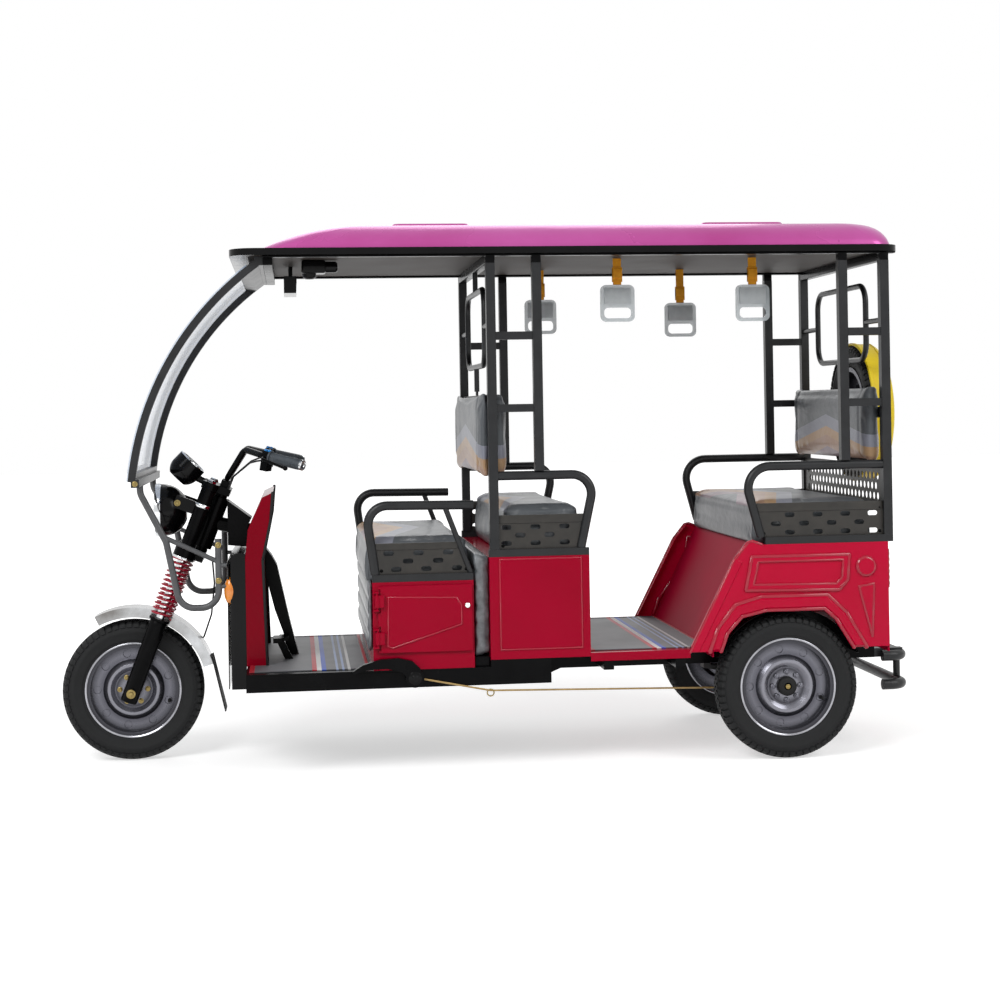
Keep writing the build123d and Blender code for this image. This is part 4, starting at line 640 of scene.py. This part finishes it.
bm = bmesh.new()
lathe(bm, GAUGE_CENTRE, GAUGE_AXIS, DIAL, 48)
keep("gauge_dial", bm, dial_white, "steering")
bm = bmesh.new()
for i in range(MARK_COUNT):
    sweep = dial_ray(MARK_FIRST + MARK_STEP * i)
    lathe(bm, GAUGE_CENTRE + sweep * (MARK_OUT * MM) + GAUGE_AXIS * (MARK_HEIGHT * MM), sweep, MARK, 8)
lathe(bm, GAUGE_CENTRE, GAUGE_AXIS, BOSS, 24)
lathe(bm, GAUGE_CENTRE + GAUGE_AXIS * (NEEDLE_HEIGHT * MM), dial_ray(NEEDLE_ANGLE), NEEDLE, 8)
keep("gauge_marks", bm, gloss_black, "steering")
bm = bmesh.new()
lathe(bm, GAUGE_CENTRE, GAUGE_AXIS, GAUGE_RIM, 48, True)
keep("gauge_rim", bm, chrome, "steering")
bm = bmesh.new()
lathe(bm, GAUGE_CENTRE, GAUGE_AXIS, GAUGE_WINDOW, 48)
keep("gauge_window", bm, lens_clear, "steering")

# Hoop and screen bolts as station, distance out, height and width across flats, and the ring on the cable
ZINC_BOLTS = ((306, 286, 630, 11), (306, 286, 748, 11), (53, 450, 962, 10))
CABLE_RING_R = 11.0
CABLE_RING_WIRE = 2.2
bm = bmesh.new()
for side in SIDES:
    for x, y, z, flats in ZINC_BOLTS:
        bolt(bm, spot(x, side * y, z), ACROSS * side, flats)
ring = [(CABLE_RING_WIRE * math.cos(a), CABLE_RING_R + CABLE_RING_WIRE * math.sin(a))
        for a in (math.radians(45 * i) for i in range(8))]
lathe(bm, spot(1183, -490, 261), ACROSS, ring, 32, True)
keep("zinc_bolts", bm, zinc_yellow)
# Cap on the hand brake's pivot and face of the locker's lock
PIVOT_CAP = ((-1, 0), (-1, 22), (1.5, 22), (3, 19), (3, 10), (4.5, 8), (4.5, 0))
LOCK_FACE = ((-1, 0), (-1, 8), (1.6, 8), (2.6, 6.6), (2.6, 2.2), (1.4, 1.4), (1.4, 0))
bm = bmesh.new()
lathe(bm, spot(937, -509, 318), -ACROSS, PIVOT_CAP, 40)
keep("brake_pivot_cap", bm, gloss_black)
bm = bmesh.new()
lathe(bm, spot(1112, -496.5, 548), -ACROSS, LOCK_FACE, 28)
keep("locker_lock_face", bm, chrome, "locker_door")

# Seat guards: folded upper strip and small bolts; station from and to, height from and to
SIDE_Y = 467.0
STRIP_HALF = 4.0
GUARD_FACE = 1.5
GUARD_STRIPS = ((817, 1086, 730, 753), (1221, 1513, 807, 835), (2070, 2518, 825, 854))
GUARD_BOLTS = ((836, 664), (1112, 664), (1234, 735), (1484, 735), (2108, 753), (2506, 753), (2506, 832))
strips = bmesh.new()
heads = bmesh.new()
for side in SIDES:
    for x0, x1, z0, z1 in GUARD_STRIPS:
        slab(strips, spot(x0, side * SIDE_Y - STRIP_HALF, z0), spot(x1, side * SIDE_Y + STRIP_HALF, z1), 2.5)
    for x, z in GUARD_BOLTS:
        bolt(heads, spot(x, side * (SIDE_Y + GUARD_FACE), z), ACROSS * side, 6)
keep("guard_strips", strips, guard_bronze)
keep("guard_bolts", heads, chassis_black)


# Floor mats: a sheet with a raised rim
MAT_HALF = 440.0
MAT_THICK = 4.0
MAT_RIM = 14.0
MAT_SUNK = 1.6


def floor_mat(name, x0, x1, z, finish):
    bm = bmesh.new()
    slab(bm, spot(x0, -MAT_HALF, z), spot(x1, MAT_HALF, z + MAT_THICK), 1.4, 2)
    top = [face for face in bm.faces if face.normal.z > 0.99 and face.calc_area() > 0.01]
    bmesh.ops.inset_region(bm, faces=top, thickness=MAT_RIM * MM, depth=0)
    bmesh.ops.inset_region(bm, faces=top, thickness=2 * MM, depth=-MAT_SUNK * MM)
    keep(name, bm, finish)


floor_mat("front_mat", 405, 793, 343, front_print)
floor_mat("rear_mat", 1521, 1920, 378, rear_print)


# Quilted vinyl on the fronts of the driver's and the middle seat; each cell is drawn in and raised twice
CELL_STEPS = ((6, 2), (9, 3))


def quilt(name, x_back, thick, half, z0, z1, cells_across, cells_up):
    bm = bmesh.new()
    turn = Matrix(((0, 0, -1), (0, 1, 0), (1, 0, 0))).to_4x4()
    bmesh.ops.create_grid(bm, x_segments=cells_up, y_segments=cells_across, size=0.5)
    bmesh.ops.transform(bm, matrix=turn, verts=bm.verts)
    bmesh.ops.scale(bm, vec=(1, 2 * half * MM, (z1 - z0) * MM), verts=bm.verts)
    bmesh.ops.translate(bm, vec=spot(x_back - thick, 0, (z0 + z1) / 2), verts=bm.verts)
    bmesh.ops.recalc_face_normals(bm, faces=bm.faces)
    if bm.faces[:][0].normal.x > 0:
        bmesh.ops.reverse_faces(bm, faces=bm.faces[:])
    faces = bm.faces[:]
    for inset, height in CELL_STEPS:
        bmesh.ops.inset_individual(bm, faces=faces, thickness=inset * MM, depth=height * MM)
    bmesh.ops.solidify(bm, geom=bm.faces[:], thickness=thick * MM)
    piece = keep(name, bm, vinyl_grey, crease=180.0)
    puff = piece.modifiers.new("puff", "SUBSURF")
    puff.levels = 2
    puff.render_levels = 2


quilt("driver_seat_quilt", 804, 10, 464, 400, 636, 16, 4)
quilt("middle_seat_quilt", 1186, 44, 472, 372, 716, 16, 6)

# Black plate under the middle seat's quilt
FOOT_PLATE_HALF = 468.0
bm = bmesh.new()
slab(bm, spot(1137, -FOOT_PLATE_HALF, 338), spot(1185, FOOT_PLATE_HALF, 376), 2)
keep("seat_foot_plate", bm, chassis_black)

# Hanging handles as station, Y and height of the top, with a card on each face and a buckle on each strap
HANDLES = ((1668, -250, 1600), (2141, -250, 1597), (1472, 250, 1582), (1997, 250, 1566))
CARD_HALF = 46.0
CARD_THICK = 0.8
CARD_FACE = 5.6
CARD_LOW = 66.0
CARD_TOP = 10.0
BUCKLE_HALF = 17.0
BUCKLE_THICK = 9.0
BUCKLE_LOW = 22.0
BUCKLE_TOP = 56.0
bm = bmesh.new()
for x, y, top in HANDLES:
    for side in SIDES:
        card_y = y + side * CARD_FACE
        slab(bm, spot(x - CARD_HALF, card_y - CARD_THICK, top - CARD_LOW),
             spot(x + CARD_HALF, card_y + CARD_THICK, top - CARD_TOP), 0.7, 2)
keep("handle_cards", bm, card_grey)
bm = bmesh.new()
for x, y, top in HANDLES:
    slab(bm, spot(x - BUCKLE_HALF, y - BUCKLE_THICK, top + BUCKLE_LOW),
         spot(x + BUCKLE_HALF, y + BUCKLE_THICK, top + BUCKLE_TOP), 3)
keep("strap_buckles", bm, strap_orange)

# Mirror glass, wiper motor with its gear case, tail lamp ribs, seams of the spare's cover
MIRROR_HALF = 103.0
bm = bmesh.new()
slab(bm, spot(577.5, -MIRROR_HALF, 1598), spot(580, MIRROR_HALF, 1644), 1.0, 2)
keep("mirror_glass", bm, chrome)
WIPER_Y = -252.0
WIPER_HALF = 40.0
GEAR_CASE = ((0, 0), (0, 24), (14, 22), (19, 15), (20, 0))
MOTOR_CAN = ((-2, 0), (-2, 19), (34, 19), (40, 14), (41, 0))
bm = bmesh.new()
slab(bm, spot(596, WIPER_Y - WIPER_HALF, 1646), spot(676, WIPER_Y + WIPER_HALF, 1690), 7)
lathe(bm, spot(622, WIPER_Y, 1647), -UP, GEAR_CASE, 28)
lathe(bm, spot(676, WIPER_Y, 1668), ALONG, MOTOR_CAN, 28)
keep("wiper_motor", bm, gloss_black)
TAIL_RIBS = range(574, 694, 20)
TAIL_RIB_HALF = 7.0
bm = bmesh.new()
for side in SIDES:
    low_y, high_y = sorted((side * 376, side * 444))
    for z in TAIL_RIBS:
        slab(bm, spot(2543, low_y, z - TAIL_RIB_HALF), spot(2548, high_y, z + TAIL_RIB_HALF), 3)
keep("tail_lamp_ribs", bm, lamp_red)
COVER_HEM = ((-32, 240.6), (-33, 246), (-30, 249), (-22, 249), (-20, 246), (-20, 244.6))
COVER_SEAM = ((25, 244.4), (25.6, 247), (28, 248.2), (30.4, 247), (31, 243.4))
bm = bmesh.new()
for profile in (COVER_HEM, COVER_SEAM):
    lathe(bm, spare_centre, ALONG, profile, 96, True)
keep("cover_seams", bm, cover_yellow)

# Indicator lenses: a turned dome, stretched upright, on each front corner of the apron
LENS = ((-8, 0), (-8, 22), (0, 22), (2, 20.4), (9, 18.6), (14, 14), (17, 7), (18, 0))
LENS_TALL = 2.1
LENS_SPREAD = 0.9
bm = bmesh.new()
for side in SIDES:
    dome = bmesh.new()
    seat = spot(342, side * 271, 594)
    lathe(dome, seat, Vector((-1, side * LENS_SPREAD, 0)).normalized(), LENS, 40)
    bmesh.ops.scale(dome, vec=(1, 1, LENS_TALL), verts=dome.verts, space=Matrix.Translation(-seat))
    shape = bpy.data.meshes.new("indicator_half")
    dome.to_mesh(shape)
    dome.free()
    bm.from_mesh(shape)
    bpy.data.meshes.remove(shape)
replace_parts(keep("indicator_lenses", bm, lamp_amber), "indicator_lamps")

# Rubber edging down the back of the leg shield; points as station and height
SHIELD_BACK = ((462, 345), (452, 694), (480, 826), (488, 918))
SHIELD_HALF = 287.0
EDGING_TIP = ((3, 0), (3, 3), (0, 5))
bm = bmesh.new()
for side in SIDES:
    corners = [spot(x, side * SHIELD_HALF, z) for x, z in SHIELD_BACK]
    for start, end in zip(corners, corners[1:]):
        rod(bm, start, end, EDGING_TIP)
keep("shield_edging", bm, rubber_black)

# Rolled beads on the pressed panels; points as station and height, from the outlines in the part's source
BODY_HALF = 482.0
SILL = 368.0
REAR_TOP = 718.0
DOOR_FACE = 490.5


def by_axle(height, points):
    # Points given from the rear axle and a height, as stations and heights.
    return [(REAR_AXLE + x, height + z) for x, z in points]


def bead(bm, points, y, radius, closed=False):
    # A line of round bars with blunt tips, so that they meet at the corners.
    tip = ((0.8 * radius, 0), (0.6 * radius, 0.7 * radius), (0, radius))
    corners = [spot(x, y, z) for x, z in points]
    if closed:
        corners.append(corners[0])
    for start, end in zip(corners, corners[1:]):
        rod(bm, start, end, tip)


ARCH = by_axle(SILL, [(-233, 0), (-211, 60), (-161, 114), (-77, 133), (121, 133), (161, 98), (221, 0)])
ARCH_LIP = by_axle(SILL, [(-269, 0), (-241, 76), (-181, 152), (-93, 177), (133, 177), (197, 116), (265, 0)])
SLANT_EDGE = [(1850, SILL)] + by_axle(REAR_TOP, [(-179, -46), (-135, 8), (-119, 12), (-87, 0)])
FRAME_FORM = by_axle(REAR_TOP, [(-123, -40), (209, -40), (203, -122), (173, -156), (-145, -150)])
FRAME_RECESS = by_axle(REAR_TOP, [(-102, -56), (188, -56), (184, -114), (164, -136), (-120, -132)])
WEDGE = by_axle(REAR_TOP, [(243, -148), (293, -140), (285, -314)])
MID_FORM = [(1221, 398), (1489, 398), (1489, 692), (1221, 692)]
DOOR_FORM = [(856, 580), (1076, 574), (1092, 550), (1092, 488), (868, 416), (852, 422)]
# Each line: its points, how far out of the side sheet its middle lies, its radius, and whether it closes
REAR_BEADS = (
    (ARCH, 3, 7, False), (ARCH_LIP, -2, 9, False), (SLANT_EDGE, -3, 5, False), (FRAME_FORM, 0, 7, True),
    (FRAME_RECESS, 2.5, 4.5, True), (WEDGE, -1, 5.5, True),
)
LAMP_RING = ((1, 36), (4, 34), (7.4, 30), (8.6, 27), (6, 25), (2, 25))
FORM_OUT = 1.0
FORM_BEAD = 3.0
rear = bmesh.new()
middle = bmesh.new()
for side in SIDES:
    for points, proud, radius, closed in REAR_BEADS:
        bead(rear, points, side * (BODY_HALF + proud), radius, closed)
    lathe(rear, spot(REAR_AXLE + 267, side * BODY_HALF, REAR_TOP - 81), ACROSS * side, LAMP_RING, 48, True)
    bead(middle, MID_FORM, side * (BODY_HALF + FORM_OUT), FORM_BEAD, True)
keep("rear_side_beads", rear, bead_red)
keep("middle_box_beads", middle, bead_red)
bm = bmesh.new()
bead(bm, DOOR_FORM, -(DOOR_FACE + FORM_OUT), FORM_BEAD, True)
keep("locker_door_beads", bm, bead_red, "locker_door")

# Wheel houses: an inner wall and a sheet bent round each rear tyre, closing the gap behind the arch.
# Section as distance out from the middle plane and radius; angles counted up from the rear.
HOUSE_SECTION = ((356, 150), (356, 264), (478, 264))
HOUSE_FROM = math.radians(24)
HOUSE_TO = math.radians(156)
HOUSE_SHEET = 1.5
bm = bmesh.new()
for side in SIDES:
    hub = spot(REAR_AXLE, 0, TYRE_RADIUS)
    ray = ALONG * math.cos(HOUSE_FROM) + UP * math.sin(HOUSE_FROM)
    row = [bm.verts.new(hub + ACROSS * (side * y * MM) + ray * (r * MM)) for y, r in HOUSE_SECTION]
    line = [bm.edges.new(two) for two in zip(row, row[1:])]
    bmesh.ops.spin(bm, geom=row + line, cent=hub, axis=-ACROSS, angle=HOUSE_TO - HOUSE_FROM, steps=40)
bmesh.ops.recalc_face_normals(bm, faces=bm.faces)
bmesh.ops.solidify(bm, geom=bm.faces[:], thickness=HOUSE_SHEET * MM)
keep("wheel_houses", bm, chassis_black)

# Roof frame: thin folded side flanges, the heads of the posts and three cross tubes
POST_STATIONS = (1206, 1358, 2390, 2533)
CROSS_STATIONS = (486, 1206, 2533)
CROSS_HALF = 454.0
TUBE_HALF = 15.0
bm = bmesh.new()
for side in SIDES:
    low_y, high_y = sorted((side * 452, side * 482))
    slab(bm, spot(470, low_y, 1683), spot(2572, high_y, 1690), 2)
    for x in POST_STATIONS:
        slab(bm, spot(x - TUBE_HALF, low_y, 1658), spot(x + TUBE_HALF, high_y, 1688), 2)
for x in CROSS_STATIONS:
    slab(bm, spot(x - TUBE_HALF, -CROSS_HALF, 1660), spot(x + TUBE_HALF, CROSS_HALF, 1690), 2)
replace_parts(keep("roof_frame_tubes", bm, chassis_black), "roof_frame")

# Cushions: stations, half width and heights of the space that the source keeps for each, the axis of its
# thickness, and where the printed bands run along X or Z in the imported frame
PADS = (
    ("driver_cushion", "seat_cushions", 770, 1136, 448, 628, 770, "Z", "X", -480, -160),
    ("middle_cushion", "seat_cushions", 1226, 1504, 448, 700, 866, "Z", "X", -60, 210),
    ("rear_cushion", "seat_cushions", 2062, 2500, 448, 718, 862, "Z", "X", 880, 1180),
    ("driver_backrest", "backrests", 1170, 1202, 449, 952, 1245, "X", "Z", 930, 1170),
    ("middle_backrest", "backrests", 1210, 1252, 449, 952, 1245, "X", "Z", 930, 1170),
    ("rear_backrest", "backrests", 2478, 2524, 449, 975, 1250, "X", "Z", 950, 1180),
)
# How far inside its space a cushion or backrest starts, and how round its edges are, in millimetres
PAD_SHRINK = 9.0
BACK_SHRINK = 5.0
END_SHRINK = 4.0
PAD_EDGE = 18.0
BACK_EDGE = 11.0
# Cloth: mesh size, farthest that a point may be pushed, frames run; seams: width and depth; all in metres
PAD_VOXEL = 0.009
PAD_PUSH = 0.012
PAD_FRAMES = 20
SEAM_WIDTH = 0.013
SEAM_DEPTH = 0.004
# Sewn lines: how far below the top and in from the ends they run, in millimetres
SEAM_BELOW_TOP = 34.0
SEAM_FROM_END = 78.0


def pad_base(x0, x1, half, z0, z1, thick):
    # A block with rounded edges, a little smaller than its space, with enough faces to be shaped.
    bm = bmesh.new()
    flat = thick == "Z"
    shrink = PAD_SHRINK if flat else BACK_SHRINK
    edge = PAD_EDGE if flat else BACK_EDGE
    end = half - END_SHRINK
    low = spot(x0 + shrink, -end, z0 if flat else z0 + shrink)
    slab(bm, low, spot(x1 - shrink, end, z1 - shrink), edge, 4)
    return bm


def sew(mesh, axis, place):
    # A sewn line: the points near one plane are drawn in along their own normals.
    for vertex in mesh.vertices:
        away = abs(vertex.co[axis] - place) / SEAM_WIDTH
        if away < 1:
            vertex.co -= vertex.normal * (SEAM_DEPTH * (1 - away * away))


pads = []
for name, node, x0, x1, half, z0, z1, thick, axis, low, high in PADS:
    lean, plain_below = (0.28, z1 - 20) if axis == "X" else (0.16, None)
    cover = seat_cover(f"printed_vinyl_{name}", axis, low, high, lean, plain_below)
    piece = keep(name, pad_base(x0, x1, half, z0, z1, thick), cover)
    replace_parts(piece, node)
    seams = [(2, (z1 - SEAM_BELOW_TOP) * MM)]
    if thick == "X":
        seams += [(1, side * (half - SEAM_FROM_END) * MM) for side in SIDES]
    pads.append((piece, thick, seams))

rest = {}
for piece, thick, _ in pads:
    remesh = piece.modifiers.new("remesh", "REMESH")
    remesh.mode = "VOXEL"
    remesh.voxel_size = PAD_VOXEL
    bpy.context.view_layer.update()
    fine = bpy.data.meshes.new_from_object(piece.evaluated_get(bpy.context.evaluated_depsgraph_get()))
    piece.modifiers.clear()
    finish = piece.data.materials[0]
    piece.data = fine
    fine.materials.clear()
    fine.materials.append(finish)
    fine.name = piece.name
    xs = [v.co.x for v in fine.vertices]
    zs = [v.co.z for v in fine.vertices]
    held = piece.vertex_groups.new(name="held")
    if thick == "Z":
        fixed = [v.index for v in fine.vertices if v.co.z < min(zs) + 0.004]
    else:
        mid_x = (min(xs) + max(xs)) / 2
        fixed = [v.index for v in fine.vertices if abs(v.co.x - mid_x) < 0.002]
    held.add(fixed, 1.0, "REPLACE")
    cloth = piece.modifiers.new("cloth", "CLOTH")
    cloth.settings.use_pressure = True
    cloth.settings.uniform_pressure_force = 4.0
    cloth.settings.effector_weights.gravity = 0.0
    cloth.settings.vertex_group_mass = "held"
    cloth.settings.quality = 4
    cloth.point_cache.frame_end = PAD_FRAMES
    rest[piece.name] = [v.co.copy() for v in fine.vertices]
for frame_number in range(1, PAD_FRAMES + 1):
    scene.frame_set(frame_number)
for piece, _, seams in pads:
    puffed = bpy.data.meshes.new_from_object(piece.evaluated_get(bpy.context.evaluated_depsgraph_get()))
    for vertex, start in zip(puffed.vertices, rest[piece.name]):
        push = vertex.co - start
        if push.length > PAD_PUSH:
            vertex.co = start + push.normalized() * PAD_PUSH
    piece.modifiers.clear()
    for axis, place in seams:
        sew(puffed, axis, place)
    piece.data = puffed
    for face in puffed.polygons:
        face.use_smooth = True
scene.frame_set(1)
for piece, _, _ in pads:
    round_off = piece.modifiers.new("round_off", "SUBSURF")
    round_off.levels = 1
    round_off.render_levels = 1

# Studio: white surroundings and pale floor for camera, mirror and glass rays, soft boxes above
world = bpy.data.worlds.new("studio")
scene.world = world
world.use_nodes = True
sky = world.node_tree
sky.nodes.clear()


def seen_ray(tree):
    path = add(tree, "ShaderNodeLightPath")
    shiny = add(tree, "ShaderNodeMath", {0: path.outputs["Is Camera Ray"], 1: path.outputs["Is Glossy Ray"]},
                operation="MAXIMUM")
    return add(tree, "ShaderNodeMath", {0: shiny.outputs[0], 1: path.outputs["Is Transmission Ray"]},
               operation="MAXIMUM").outputs[0]


# What the camera sees is full white; the light that the surroundings give is weaker.
WORLD_FILL = 0.3
level = add(sky, "ShaderNodeMapRange", {"Value": seen_ray(sky), "To Min": WORLD_FILL, "To Max": 1.0})
shine = add(sky, "ShaderNodeBackground", {"Color": linear("#FFFFFF"), "Strength": level.outputs["Result"]})
add(sky, "ShaderNodeOutputWorld", {"Surface": shine.outputs["Background"]})

# Floor: painted board that keeps the shadow, lifted to white for the camera and reflections: a little
# near the vehicle and fully farther off, so that no horizon shows
FLOOR_LIFT = 0.55
LIFT_FROM = 1.6
LIFT_TO = 4.5
floor_paint = mottled("painted_studio_floor", "#E9E9E9", "#EFEFEF", 900, (0.8, 0.9), Specular_IOR_Level=0.1)
floor_tree = floor_paint.node_tree
floor_bsdf = floor_tree.nodes["Principled BSDF"]
floor_bsdf.inputs["Emission Color"].default_value = linear("#FFFFFF")
ground = add(floor_tree, "ShaderNodeTexCoord").outputs["Object"]
away = add(floor_tree, "ShaderNodeVectorMath", {0: ground}, operation="LENGTH")
fade = add(floor_tree, "ShaderNodeMapRange", {
    "Value": away.outputs["Value"], "From Min": LIFT_FROM, "From Max": LIFT_TO,
    "To Min": FLOOR_LIFT, "To Max": 1.0})
lift = add(floor_tree, "ShaderNodeMath", {0: seen_ray(floor_tree), 1: fade.outputs["Result"]},
           operation="MULTIPLY")
floor_tree.links.new(lift.outputs[0], floor_bsdf.inputs["Emission Strength"])
floor_mesh = bpy.data.meshes.new("floor")
sheet = bmesh.new()
bmesh.ops.create_grid(sheet, x_segments=1, y_segments=1, size=30)
sheet.to_mesh(floor_mesh)
sheet.free()
floor_mesh.materials.append(floor_paint)
floor = bpy.data.objects.new("floor", floor_mesh)
scene.collection.objects.link(floor)

# Soft boxes: place, what each is turned to, width and power
SOFT_BOXES = (
    ("key_box", (-3.5, -4.5, 5.0), (0, 0, 0.9), 3.0, 250),
    ("fill_box", (4.5, -3.5, 4.0), (0, 0, 0.8), 3.0, 120),
    ("back_box", (0.5, 5.0, 4.5), (0, 0, 1.0), 4.0, 80),
)
for name, stand, aim, size, power in SOFT_BOXES:
    lamp_data = bpy.data.lights.new(name, "AREA")
    lamp_data.size = size
    lamp_data.energy = power
    lamp = bpy.data.objects.new(name, lamp_data)
    scene.collection.objects.link(lamp)
    look = (Vector(aim) - Vector(stand)).to_track_quat("-Z", "Y")
    lamp.matrix_world = Matrix.Translation(stand) @ look.to_matrix().to_4x4()

bpy.context.view_layer.update()
